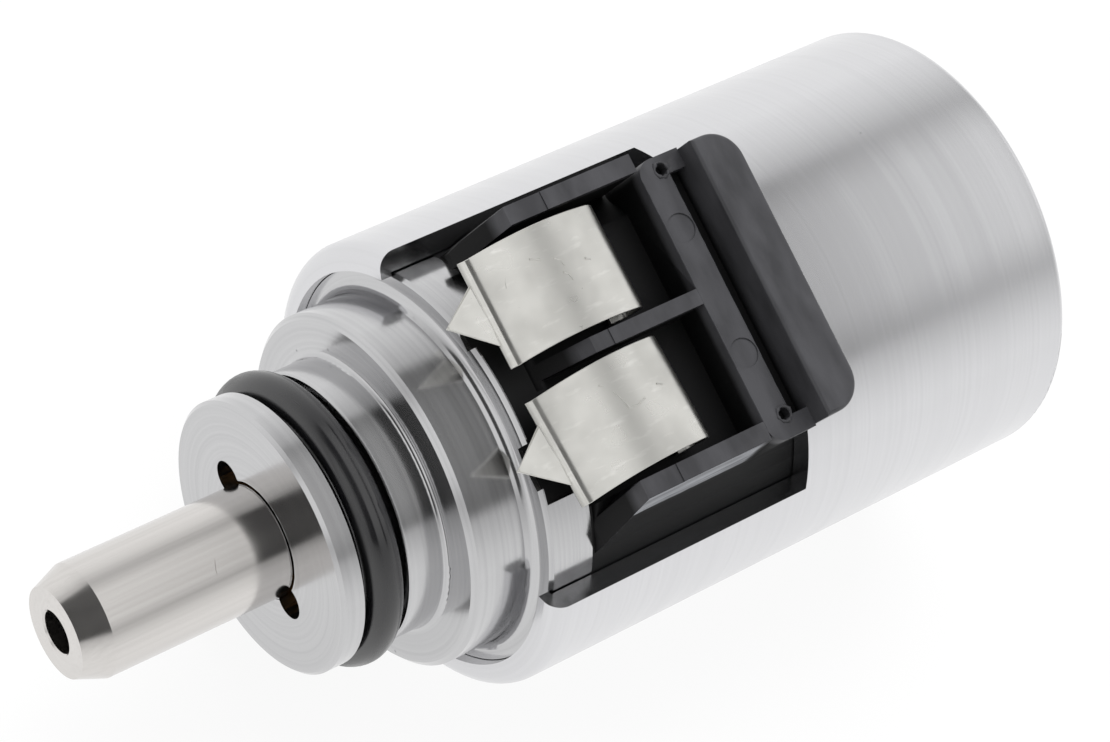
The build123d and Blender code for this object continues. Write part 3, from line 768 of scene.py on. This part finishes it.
class BentStrip(NodeShape):
    """A flat metal strip with rounded edges, bent along a path in an upright plane.

    Its inputs are Width, Thickness and Rounding of its section in metres, and Across, the direction
    of its width.
    """

    def grow(self, tree: bpy.types.NodeTree) -> Source:
        """Sweep a rounded rectangle along the path."""
        curve = add(tree, "GeometryNodeMeshToCurve", {0: self.inputs.outputs["Geometry"]})
        lying = add(tree, "GeometryNodeSetCurveNormal", {0: curve, "Normal": self.size("Across", "Vector")},
                    mode="FREE")
        section = add(tree, "GeometryNodeCurvePrimitiveQuadrilateral", {"Width": self.size("Width"),
                                                                        "Height": self.size("Thickness")})
        rounded = add(tree, "GeometryNodeFilletCurve", {0: section, "Count": 3,
                                                        "Radius": self.size("Rounding")}, mode="POLY")
        return add(tree, "GeometryNodeCurveToMesh", {0: lying, 1: rounded, "Fill Caps": True})


def turned_path(x: float, radius: float, start: float = 0.0, end: float = 360.0,
                steps: int = 120) -> list[Point]:
    """Points in metres round the valve's axis.

    Args:
        x: Millimetres along the axis.
        radius: Millimetres from the axis.
        start: The first angle in degrees, from +Z towards +Y.
        end: The last angle.
        steps: How many stretches; a full circle leaves out its last point.

    Returns:
        The points.
    """
    count = steps if end - start >= 360 else steps + 1
    turns = [math.radians(start + (end - start) * i / steps) for i in range(count)]
    return [(x * MM, radius * math.sin(a) * MM, radius * math.cos(a) * MM) for a in turns]


@dataclass
class Piece:
    """A sub-assembly of the valve that dresses its own CAD nodes and builds its own details."""

    body: str = "valve"

    def dress(self, finish: Finish, *nodes: str) -> None:
        """Give CAD nodes one finish.

        Args:
            finish: The finish.
            nodes: The nodes' names.
        """
        for node in nodes:
            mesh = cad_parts[node].data
            mesh.materials.clear()
            mesh.materials.append(finish.shared())
            log.info("%s takes %s", node, finish.name)

    def hand_over(self, piece: bpy.types.Object, slot: str, *replaced: str) -> None:
        """Let a finished piece ride on the body and hide the CAD nodes that it stands for.

        Args:
            piece: The finished piece.
            slot: The record's material slot; not used.
            replaced: Names of CAD nodes.
        """
        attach(piece, self.body)
        if replaced:
            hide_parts(*replaced)
        log.info("%s is in place", piece.name)

    def build(self) -> None:
        """Build and dress the sub-assembly."""
        raise NotImplementedError


@dataclass
class Housing(Piece):
    """The can, the turned nose and its seal.

    Attributes:
        disc_front: The disc's front face.
        disc_radius: The disc's radius.
        collar_front: The collar's front face.
        collar_radius: The collar's radius.
        bore_radius: The pin's bore in the disc.
        bore_burr: The radius of the burr's section at that bore.
        vent_half_angle: Half the gap in the burr at each vent, in degrees.
        nick: The largest nick's radius on a turned edge.
    """

    disc_front: float = -12.3
    disc_radius: float = 9.7
    collar_front: float = -4.1
    collar_radius: float = 12.66
    bore_radius: float = 4.25
    bore_burr: float = 0.075
    vent_half_angle: float = 16.0
    nick: float = 0.09

    def build(self) -> None:
        """Dress the can, the nose and the seal, and add burrs and nicks."""
        self.dress(CAN_STEEL, "can")
        self.dress(NOSE_STEEL, "nose_body")
        self.dress(SEAL_RUBBER, "nose_seal", "pole_seal")
        self.dress(PLUG_STEEL, "end_plug")
        self.bore_burrs()
        self.edge_nicks()

    def bore_burrs(self) -> None:
        """Lay a thin burr round the pin's bore, open at both vents."""
        bead = RaggedBead("bore_burr")
        thick = self.bore_burr * MM
        sizes = {"Step": 0.25 * MM, "Thin": thick * 0.75, "Thick": thick, "Seed": 3}
        radius = self.bore_radius - self.bore_burr
        for name, middle in (("bore_burr_upper", 0.0), ("bore_burr_lower", 180.0)):
            reach = 90 - self.vent_half_angle
            path = turned_path(self.disc_front + self.bore_burr, radius, middle - reach, middle + reach)
            self.hand_over(bead.make(name, NOSE_STEEL, sizes, path), "nose_metal")

    def edge_nicks(self) -> None:
        """Scatter nicks along the disc's and the collar's front edges."""
        crumbs = EdgeCrumbs("edge_nicks")
        small = tuple(self.nick * share * MM for share in (0.25, 0.3, 0.4))
        large = tuple(self.nick * share * MM for share in (0.6, 0.7, 1.6))
        # Name, place, radius and seed; each path runs a little inside the edge's chamfer
        rims = (("disc_nicks", self.disc_front + 0.14, self.disc_radius - 0.17, 5),
                ("collar_nicks", self.collar_front + 0.22, self.collar_radius - 0.24, 8))
        for name, x, radius, seed in rims:
            sizes = {"Step": 0.5 * MM, "Share": 0.35, "Small": small, "Large": large, "Seed": seed}
            piece = crumbs.make(name, NOSE_STEEL, sizes, turned_path(x, radius), closed=True)
            self.hand_over(piece, "nose_metal")


@dataclass
class Plunger(Piece):
    """The push pin with its armature."""

    body: str = "plunger"

    def build(self) -> None:
        """Dress the pin, the armature and its ring."""
        self.dress(PIN_STEEL, "plunger_pin")
        self.dress(CORE_IRON, "armature")
        self.dress(SPRING_STEEL, "armature_ring")


@dataclass
class MagnetCore(Piece):
    """What is hidden round the armature: coil, poles, bushes and springs.

    Attributes:
        winding_front: Where the winding starts.
        winding_rear: Where it ends.
        winding_radius: The radius on which its outer turns lie.
        wire_radius: The wire's radius, drawn thicker than a real one.
        spring_rear: Where the return spring meets its seat; not used.
        spring_kept: The share of the spring's length that is left when the plunger is pushed in; not used.
    """

    winding_front: float = 7.1
    winding_rear: float = 37.2
    winding_radius: float = 10.6
    wire_radius: float = 0.22
    spring_rear: float = 37.45
    spring_kept: float = 0.69

    def build(self) -> None:
        """Dress the hidden nodes and wind the coil's outer turns."""
        self.dress(WINDING_COPPER, "coil_winding", "coil_lead_left", "coil_lead_right")
        self.dress(BOBBIN_PLASTIC, "coil_bobbin")
        self.dress(CORE_IRON, "rear_pole", "flux_ring")
        self.dress(SPRING_STEEL, "guide_tube", "return_spring", "spring_seat", "disc_spring")
        self.dress(BUSH_BRONZE, "front_bush", "rear_bush")
        self.dress(SHIM_BRASS, "stop_shim")
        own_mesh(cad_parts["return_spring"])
        self.turns()

    def turns(self) -> None:
        """Lay the outer turns side by side from flange to flange."""
        pitch = 2 * self.wire_radius
        count = int((self.winding_rear - self.winding_front) / pitch)
        spare = self.winding_rear - self.winding_front - count * pitch
        sizes = {
            "Start": (self.winding_front + self.wire_radius + spare / 2) * MM,
            "Pitch": pitch * MM,
            "Turns": count,
            "Radius": self.winding_radius * MM,
            "Wire": self.wire_radius * MM,
        }
        turns = WireTurns("wire_turns", sharp_from=80)
        self.hand_over(turns.make("coil_turns", WINDING_COPPER, sizes), "winding_copper")


# Places along and across each strip, in millimetres from its crest, that its press marks run through
LEFT_MARKS = (((-1.5, 1.8), (-1.1, 1.6), (-0.8, 1.5)), ((0.1, 1.2), (0.5, 0.9), (0.6, 0.5)),
              ((0.3, 0.1), (0.6, -0.2), (0.7, -0.6)), ((2.3, 0.4), (2.7, 0.2)))
RIGHT_MARKS = (((-1.0, 2.3), (-0.7, 2.1)), ((-0.3, 1.5), (0.0, 0.8), (0.2, 0.1), (0.9, 0.0), (1.6, 0.2)),
               ((3.0, 0.7), (3.4, 0.5)))


@dataclass
class ContactStrip(Piece):
    """One arched contact strip with a pointed tongue in front and a folded leg behind.

    Attributes:
        side: left or right.
        y: The strip's middle at its crest.
        skew: Its turn in plan, in degrees.
        crest_x: Where the arch is highest.
        crest_z: How high it is there.
        foot_z: The foot's underside.
        width: The strip's width.
        thickness: Its thickness.
        rounding: The rounding of its edges.
        lean: How far the arch leans to the left for each millimetre of its height over its ends.
        lean_z: The height at which it has no lean.
        rear_radius: The arch's outer radius behind the crest.
        rear_sweep: The angle over which it runs.
        front_radius: The arch's outer radius in front of the crest.
        front_reach: How far in front of the crest the arch ends.
        groove_place: How far behind the front end the stamped groove lies.
        groove_width: The groove's half width.
        groove_depth: Its depth.
        foot_length: The foot's length.
        bend: The bends' size at the leg's ends.
        tongue_width: The tongue's width at its root.
        tongue_length: Its length.
        tongue_rise: How far its point rises.
        tongue_thickness: Its thickness.
        root_rise: How far its root rises over the arch's front end.
        tip_length: The length of its blunted tip.
        tip_width: The width of the tongue where that starts.
        ridge: The radius of the stamped ridge at its root.
        marks: Lines of raised press marks, as places along and across the strip.
        mark: The radius of a press mark's bead.
    """

    side: str = "left"
    y: float = 0.0
    skew: float = 0.0
    crest_x: float = 8.1
    crest_z: float = 15.5
    foot_z: float = 11.9
    width: float = 7.6
    thickness: float = 0.3
    rounding: float = 0.08
    lean: float = 0.28
    lean_z: float = 14.5
    rear_radius: float = 17.17
    rear_sweep: float = 18.0
    front_radius: float = 16.33
    front_reach: float = 5.85
    groove_place: float = 0.55
    groove_width: float = 0.3
    groove_depth: float = 0.06
    foot_length: float = 1.6
    bend: float = 0.8
    tongue_width: float = 4.4
    tongue_length: float = 3.35
    tongue_rise: float = 0.78
    tongue_thickness: float = 0.12
    root_rise: float = 0.2
    tip_length: float = 0.25
    tip_width: float = 0.3
    ridge: float = 0.09
    marks: tuple[tuple[tuple[float, float], ...], ...] = ()
    mark: float = 0.1

    def at(self, along: float, across: float, z: float) -> Point:
        """A point in metres, from places along and across the strip measured from its crest."""
        turn = math.radians(self.skew)
        aside = across + self.lean * max(z - self.lean_z, 0.0)
        x = self.crest_x + along * math.cos(turn) - aside * math.sin(turn)
        y = self.y + along * math.sin(turn) + aside * math.cos(turn)
        return x * MM, y * MM, z * MM

    def corner(self, start: tuple[float, float], knee: tuple[float, float],
               end: tuple[float, float]) -> list[tuple[float, float]]:
        """Points of a smooth bend from start to end round a knee."""
        steps = [i / 6 for i in range(7)]
        return [((1 - t) ** 2 * start[0] + 2 * t * (1 - t) * knee[0] + t * t * end[0],
                 (1 - t) ** 2 * start[1] + 2 * t * (1 - t) * knee[1] + t * t * end[1]) for t in steps]

    def middle_line(self) -> list[tuple[float, float]]:
        """The line through the middle of the strip's thickness, from its foot to its front end.

        Returns:
            Places along the strip and heights, in millimetres.
        """
        half = self.thickness / 2
        rear_middle = self.crest_z - self.rear_radius
        front_middle = self.crest_z - self.front_radius
        rear = self.rear_radius - half
        front = self.front_radius - half
        leg = self.rear_radius * math.sin(math.radians(self.rear_sweep)) - half
        foot = self.foot_z + half
        knee_z = rear_middle + math.sqrt(rear ** 2 - leg ** 2)
        last = math.asin((leg - self.bend) / rear)
        arch_end = (rear * math.sin(last), rear_middle + rear * math.cos(last))
        rear_turns = [last * (1 - i / 24) for i in range(1, 25)]
        front_turn = math.asin(self.front_reach / self.front_radius)
        front_turns = [front_turn * i / 60 for i in range(1, 61)]
        line = [(leg + half - self.foot_length, foot)]
        line += self.corner((leg - self.bend, foot), (leg, foot), (leg, foot + self.bend))
        line += self.corner((leg, knee_z - self.bend), (leg, knee_z), arch_end)
        line += [(rear * math.sin(a), rear_middle + rear * math.cos(a)) for a in rear_turns]
        for a in front_turns:
            along = -front * math.sin(a)
            off = abs(along + self.front_reach - self.groove_place) / self.groove_width
            dip = self.groove_depth * (1 + math.cos(math.pi * min(off, 1))) / 2
            line.append((along, front_middle + front * math.cos(a) - dip))
        return line

    def tongue(self, front_z: float) -> bpy.types.Object:
        """The pointed tongue as a small plate with rounded edges.

        Args:
            front_z: The height of the arch's upper side at its front end.

        Returns:
            The plate.
        """
        half = self.tongue_width / 2
        root = -self.front_reach
        tip = root - self.tongue_length
        low = front_z - self.tongue_thickness
        right = ((root + self.thickness, -half, 0.0), (root, -half, self.root_rise),
                 (tip + self.tip_length, -self.tip_width / 2, self.tongue_rise))
        left = tuple((along, -across, rise) for along, across, rise in reversed(right))
        plan = (*right, (tip, 0.0, self.tongue_rise), *left)
        count = len(plan)
        points = [self.at(along, across, z + rise) for z in (low, front_z) for along, across, rise in plan]
        faces = [tuple(range(count))[::-1], tuple(range(count, 2 * count))]
        faces += [(i, (i + 1) % count, count + (i + 1) % count, count + i) for i in range(count)]
        mesh = bpy.data.meshes.new(f"contact_tongue_{self.side}")
        mesh.from_pydata(points, [], faces)
        shape = bmesh.new()
        shape.from_mesh(mesh)
        bmesh.ops.recalc_face_normals(shape, faces=shape.faces)
        edges = [e for e in shape.edges if e.calc_face_angle(0) > math.radians(40)]
        bmesh.ops.bevel(shape, geom=edges, offset=self.rounding * 0.7 * MM, segments=2, profile=0.5,
                        affect="EDGES", clamp_overlap=True)
        shape.to_mesh(mesh)
        shape.free()
        mesh.materials.append(CONTACT_SILVER.shared())
        return put(mesh.name, mesh)

    def build(self) -> None:
        """Bend the strip, and add its tongue and the ridge at the tongue's root."""
        turn = math.radians(self.skew)
        path = [self.at(along, 0, z) for along, z in self.middle_line()]
        sizes = {
            "Width": self.width * MM,
            "Thickness": self.thickness * MM,
            "Rounding": self.rounding * MM,
            "Across": (-math.sin(turn), math.cos(turn), 0.0),
        }
        shape = BentStrip("bent_strip", sharp_from=20)
        strip = shape.make(f"contact_strip_{self.side}", CONTACT_SILVER, sizes, path)
        self.hand_over(strip, "contact_silver", f"contact_spring_{self.side}")
        drop = self.front_radius - math.sqrt(self.front_radius ** 2 - self.front_reach ** 2)
        front_z = self.crest_z - drop
        self.hand_over(self.tongue(front_z), "contact_silver")
        along = 0.1 - self.front_reach
        ridge_z = self.crest_z - self.front_radius + math.sqrt(self.front_radius ** 2 - along ** 2)
        reach = self.tongue_width / 2
        path = [self.at(along, reach * (i / 6 - 1), ridge_z) for i in range(13)]
        sizes = {"Step": 0.3 * MM, "Thin": self.ridge * 0.85 * MM, "Thick": self.ridge * MM, "Seed": 2}
        ridge = RaggedBead("root_ridge").make(f"contact_ridge_{self.side}", CONTACT_SILVER, sizes, path)
        self.hand_over(ridge, "contact_silver")
        self.press_marks()

    def top(self, along: float) -> float:
        """The height of the arch's upper side at a place along the strip."""
        radius = self.rear_radius if along > 0 else self.front_radius
        return self.crest_z - radius + math.sqrt(radius ** 2 - along ** 2)

    def press_marks(self) -> None:
        """Lay thin beads, their middles a tenth of their largest radius under the arch's top, where the
        press tool has scored the arch.
        """
        bead = RaggedBead("press_mark")
        sizes = {"Step": 0.12 * MM, "Thin": self.mark * 0.5 * MM, "Thick": self.mark * MM, "Seed": 31}
        for number, line in enumerate(self.marks, 1):
            path = [self.at(along, across, self.top(along) - self.mark * 0.1) for along, across in line]
            name = f"press_mark_{self.side}_{number}"
            self.hand_over(bead.make(name, CONTACT_SILVER, sizes, path), "contact_silver")


@dataclass
class ContactDeck(Piece):
    """The black moulding in the window with its terminals and two arched contact strips.

    Attributes:
        bevel: The rounding of the moulding's edges.
        rib_top: The height of the ribs' and the bar's tops.
        bar_front: The bar's front edge.
        bar_rear: The rear end of the bar's flat top.
        bar_ends: The bar's ends across the valve.
        holes: Places of the two small end holes.
        hole_radius: Their radius.
        flash: The thickness of the mould's flash.
    """

    bevel: float = 0.07
    rib_top: float = 15.0
    bar_front: float = 17.2
    bar_rear: float = 19.4
    bar_ends: tuple[float, float] = (-8.3, 9.9)
    holes: tuple[tuple[float, float], ...] = ((18.95, 10.175), (18.95, -7.925))
    hole_radius: float = 0.45
    flash: float = 0.05

    def build(self) -> None:
        """Round the moulding's edges, dress what it carries and add its flash and torn holes."""
        self.dress(CONTACT_SILVER, "terminal_left", "terminal_right")
        self.dress(CARRIER_PLASTIC, "terminal_carrier")
        self.moulding()
        self.flashes()
        self.torn_holes()
        ContactStrip(body="contact_left", side="left", y=6.1, skew=0.8, marks=LEFT_MARKS).build()
        ContactStrip(body="contact_right", side="right", y=-3.65, skew=3.0, marks=RIGHT_MARKS).build()

    def moulding(self) -> None:
        """Replace the moulding by a copy with rounded edges."""
        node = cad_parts["terminal_carrier"]
        shape = bmesh.new()
        shape.from_mesh(node.data)
        bmesh.ops.remove_doubles(shape, verts=shape.verts, dist=0.002 * MM)
        bmesh.ops.dissolve_limit(shape, angle_limit=math.radians(1.0), verts=shape.verts, edges=shape.edges)
        edges = [e for e in shape.edges if e.is_convex and e.calc_face_angle(0) > math.radians(30)]
        bmesh.ops.bevel(shape, geom=edges, offset=self.bevel * MM, segments=2, profile=0.5, affect="EDGES",
                        clamp_overlap=True)
        bmesh.ops.triangulate(shape, faces=[f for f in shape.faces if len(f.verts) > 4])
        mesh = bpy.data.meshes.new("contact_moulding")
        shape.to_mesh(mesh)
        shape.free()
        mesh.shade_smooth()
        mesh.set_sharp_from_angle(angle=math.radians(15))
        mesh.materials.append(CARRIER_PLASTIC.shared())
        piece = put(mesh.name, mesh)
        log.info("moulding: %d edges rounded, %d faces", len(edges), len(mesh.polygons))
        self.hand_over(piece, "carrier_plastic", "terminal_carrier")

    def flashes(self) -> None:
        """Draw the mould's flash along the bar's edges."""
        bead = RaggedBead("mould_flash")
        sizes = {"Step": 0.35 * MM, "Thin": self.flash * 0.4 * MM, "Thick": self.flash * MM, "Seed": 11}
        low, high = self.bar_ends
        top = (self.rib_top - 0.01) * MM
        for end, x in (("front", self.bar_front + 0.05), ("rear", self.bar_rear - 0.02)):
            path = [(x * MM, (low + (high - low) * i / 24) * MM, top) for i in range(25)]
            piece = bead.make(f"bar_flash_{end}", CARRIER_PLASTIC, sizes, path)
            self.hand_over(piece, "carrier_plastic")

    def torn_holes(self) -> None:
        """Raise a torn rim round each end hole."""
        bead = RaggedBead("torn_rim")
        for number, (x, y) in enumerate(self.holes, 1):
            turns = [math.tau * i / 20 for i in range(20)]
            reach = self.hole_radius + 0.08
            path = [((x + reach * math.cos(a)) * MM, (y + reach * math.sin(a)) * MM, self.rib_top * MM)
                    for a in turns]
            sizes = {"Step": 0.2 * MM, "Thin": 0.03 * MM, "Thick": 0.2 * MM, "Seed": 20 + number}
            rim = bead.make(f"torn_rim_{number}", CARRIER_PLASTIC, sizes, path, closed=True)
            self.hand_over(rim, "carrier_plastic")


@dataclass
class Studio:
    """Floor, soft light and a camera at the photograph's viewing angle.

    Attributes:
        floor_z: The floor's height, which is the can's underside.
        floor_size: The floor's length and width.
        camera_place: Where the camera stands.
        camera_right: The direction in which the picture's right side lies.
        camera_up: The direction in which its top lies.
        camera_forward: The viewing direction.
        lens: The camera's focal length.
        sensor: Its sensor's width.
        lamp_place: Where the lamp hangs.
        lamp_size: Its length and width.
        lamp_power: Its power in watts.
        paper_glow: The share of plain white in the floor where it is seen directly.
        tent_turn: How far the tent is turned about the valve's axis, in degrees.
        top_half_angle: Half the angle that the top panels span across the valve, in degrees.
        seam_blur: Half the width of the seam beside them, in degrees.
        side_levels: The tent's brightness by angle from its top, round the valve.
        top_levels: The top panels' brightness by angle from upright, along the valve.
    """

    floor_z: float = -16.0
    floor_size: float = 4000.0
    camera_place: Point = (-113.47, -14.30, 221.10)
    camera_right: Point = (0.78999, -0.44626, 0.42043)
    camera_up: Point = (0.35940, 0.89262, 0.27215)
    camera_forward: Point = (0.49673, 0.06389, -0.86555)
    lens: float = 120.28
    sensor: float = 36.0
    lamp_place: Point = (120.0, 300.0, 500.0)
    lamp_size: tuple[float, float] = (500.0, 350.0)
    lamp_power: float = 3.2
    paper_glow: float = 0.9
    tent_turn: float = 4.2
    top_half_angle: float = 50.0
    seam_blur: float = 4.0
    side_levels: tuple[tuple[float, float], ...] = (
        (0, 1.0), (28, 0.97), (40, 0.8), (50, 0.6), (60, 0.72), (74, 0.9), (90, 1.0), (180, 1.0))
    top_levels: tuple[tuple[float, float], ...] = (
        (-90, 1.0), (-48, 1.0), (-44, 0.08), (-16, 0.08), (-11, 1.0), (24.4, 1.0), (26.2, 0.4), (27.3, 0.0),
        (33.4, 0.0), (34, 1.0), (90, 1.0))

    def build(self) -> None:
        """Set up the camera, the floor, the lamp and the world."""
        self.camera()
        self.floor()
        self.lamp()
        self.world()
        bpy.context.scene.view_settings.view_transform = "Standard"

    def camera(self) -> None:
        """Stand the camera where the photograph was taken from."""
        data = bpy.data.cameras.new("camera")
        data.lens = self.lens
        data.sensor_width = self.sensor
        data.clip_start = 0.01
        camera = put("camera", data)
        columns = (self.camera_right, self.camera_up, tuple(-v for v in self.camera_forward))
        turn = Matrix(columns).transposed().to_4x4()
        camera.matrix_world = Matrix.Translation(Vector(self.camera_place) * MM) @ turn
        bpy.context.scene.camera = camera

    def direct_rays(self, tree: bpy.types.NodeTree) -> Source:
        """A factor that is 1 for rays that show a thing: seen, mirrored or through glass.

        Args:
            tree: The node tree of the floor or the world.

        Returns:
            A factor.
        """
        path = add(tree, "ShaderNodeLightPath")
        seen = add(tree, "ShaderNodeMath", {
            0: path.outputs["Is Camera Ray"],
            1: path.outputs["Is Glossy Ray"],
        }, operation="MAXIMUM")
        return add(tree, "ShaderNodeMath", {
            0: seen,
            1: path.outputs["Is Transmission Ray"],
        }, operation="MAXIMUM")

    def floor(self) -> None:
        """Lay a pale floor under the can that still takes its shadow."""
        half = self.floor_size / 2 * MM
        z = self.floor_z * MM
        mesh = bpy.data.meshes.new("floor")
        mesh.from_pydata([(-half, -half, z), (half, -half, z), (half, half, z), (-half, half, z)], [],
                         [(0, 1, 2, 3)])
        floor = put("floor", mesh)
        material = bpy.data.materials.new("pale_paper")
        material.use_nodes = True
        tree = material.node_tree
        tree.nodes.clear()
        paper = add(tree, "ShaderNodeBsdfDiffuse", {"Color": linear("f6f6f6")})
        white = add(tree, "ShaderNodeEmission", {"Color": linear("ffffff"), "Strength": 1.0})
        share = add(tree, "ShaderNodeMath", {0: self.direct_rays(tree), 1: self.paper_glow},
                    operation="MULTIPLY")
        mixed = add(tree, "ShaderNodeMixShader", {0: share, 1: paper, 2: white})
        add(tree, "ShaderNodeOutputMaterial", {"Surface": mixed})
        mesh.materials.append(material)

    def lamp(self) -> None:
        """Hang one large soft lamp over the valve, a little to the left."""
        data = bpy.data.lights.new("soft_lamp", "AREA")
        data.shape = "RECTANGLE"
        data.size, data.size_y = (size * MM for size in self.lamp_size)
        data.energy = self.lamp_power
        lamp = put("soft_lamp", data)
        lamp.visible_glossy = False
        place = Vector(self.lamp_place) * MM
        lamp.matrix_world = Matrix.Translation(place) @ place.to_track_quat("Z", "Y").to_matrix().to_4x4()

    def levels(self, tree: bpy.types.NodeTree, value: Source, low: float, high: float,
               stops: tuple[tuple[float, float], ...]) -> Source:
        """A brightness that follows an angle through fixed stops.

        Args:
            tree: The world's node tree.
            value: The angle in radians.
            low: The angle at the ramp's left end, in degrees.
            high: The angle at its right end.
            stops: Angle in degrees and brightness, in order.

        Returns:
            A colour.
        """
        share = add(tree, "ShaderNodeMapRange", {
            "Value": value,
            "From Min": math.radians(low),
            "From Max": math.radians(high),
        })
        node = add(tree, "ShaderNodeValToRGB", {0: share})
        elements = node.color_ramp.elements
        while len(elements) < len(stops):
            elements.new(0.5)
        for element, (angle, level) in zip(elements, stops):
            element.position = (angle - low) / (high - low)
            element.color = (level, level, level, 1.0)
        return node.outputs["Color"]

    def world(self) -> None:
        """A white tent of panels: dark seams at both sides, and a dark gap behind and in front."""
        world = bpy.data.worlds.new("tent")
        bpy.context.scene.world = world
        world.use_nodes = True
        tree = world.node_tree
        tree.nodes.clear()
        direction = add(tree, "ShaderNodeTexCoord").outputs["Generated"]
        split = add(tree, "ShaderNodeSeparateXYZ", {0: direction})
        roll = add(tree, "ShaderNodeMath", {0: split.outputs["Y"], 1: split.outputs["Z"]},
                   operation="ARCTAN2")
        turned = add(tree, "ShaderNodeMath", {0: roll, 1: math.radians(self.tent_turn)},
                     operation="SUBTRACT")
        beside = add(tree, "ShaderNodeMath", {0: turned}, operation="ABSOLUTE")
        round_panels = self.levels(tree, beside, 0, 180, self.side_levels)
        tilt = add(tree, "ShaderNodeMath", {0: split.outputs["X"]}, operation="ARCSINE")
        along_panels = self.levels(tree, tilt, -90, 90, self.top_levels)
        overhead = add(tree, "ShaderNodeMapRange", {
            "Value": beside,
            "From Min": math.radians(self.top_half_angle + self.seam_blur),
            "From Max": math.radians(self.top_half_angle - self.seam_blur),
        }, interpolation_type="SMOOTHSTEP")
        top = add(tree, "ShaderNodeMix", {"Factor": overhead, 6: linear("ffffff"), 7: along_panels},
                  data_type="RGBA").outputs[2]
        mirrored = add(tree, "ShaderNodeMix", {"Factor": 1.0, 6: round_panels, 7: top},
                       data_type="RGBA", blend_type="MULTIPLY").outputs[2]
        path = add(tree, "ShaderNodeLightPath")
        plain = add(tree, "ShaderNodeMix", {"Factor": path.outputs["Is Camera Ray"], 6: linear("dcdcdc"),
                                            7: linear("ffffff")}, data_type="RGBA").outputs[2]
        shiny = add(tree, "ShaderNodeMath", {
            0: path.outputs["Is Glossy Ray"],
            1: path.outputs["Is Transmission Ray"],
        }, operation="MAXIMUM")
        colour = add(tree, "ShaderNodeMix", {"Factor": shiny, 6: plain, 7: mirrored},
                     data_type="RGBA").outputs[2]
        light = add(tree, "ShaderNodeBackground", {"Color": colour, "Strength": 1.0})
        add(tree, "ShaderNodeOutputWorld", {"Surface": light})


def main() -> None:
    """Build the valve's sub-assemblies in order, then the studio."""
    logging.basicConfig(level=logging.INFO, format="%(name)s: %(message)s")
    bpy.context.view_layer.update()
    for part in (Housing(), Plunger(), MagnetCore(), ContactDeck()):
        part.build()
        log.info("%s is built on body %s", type(part).__name__, part.body)
    Studio().build()


if __name__ == "__main__":
    main()
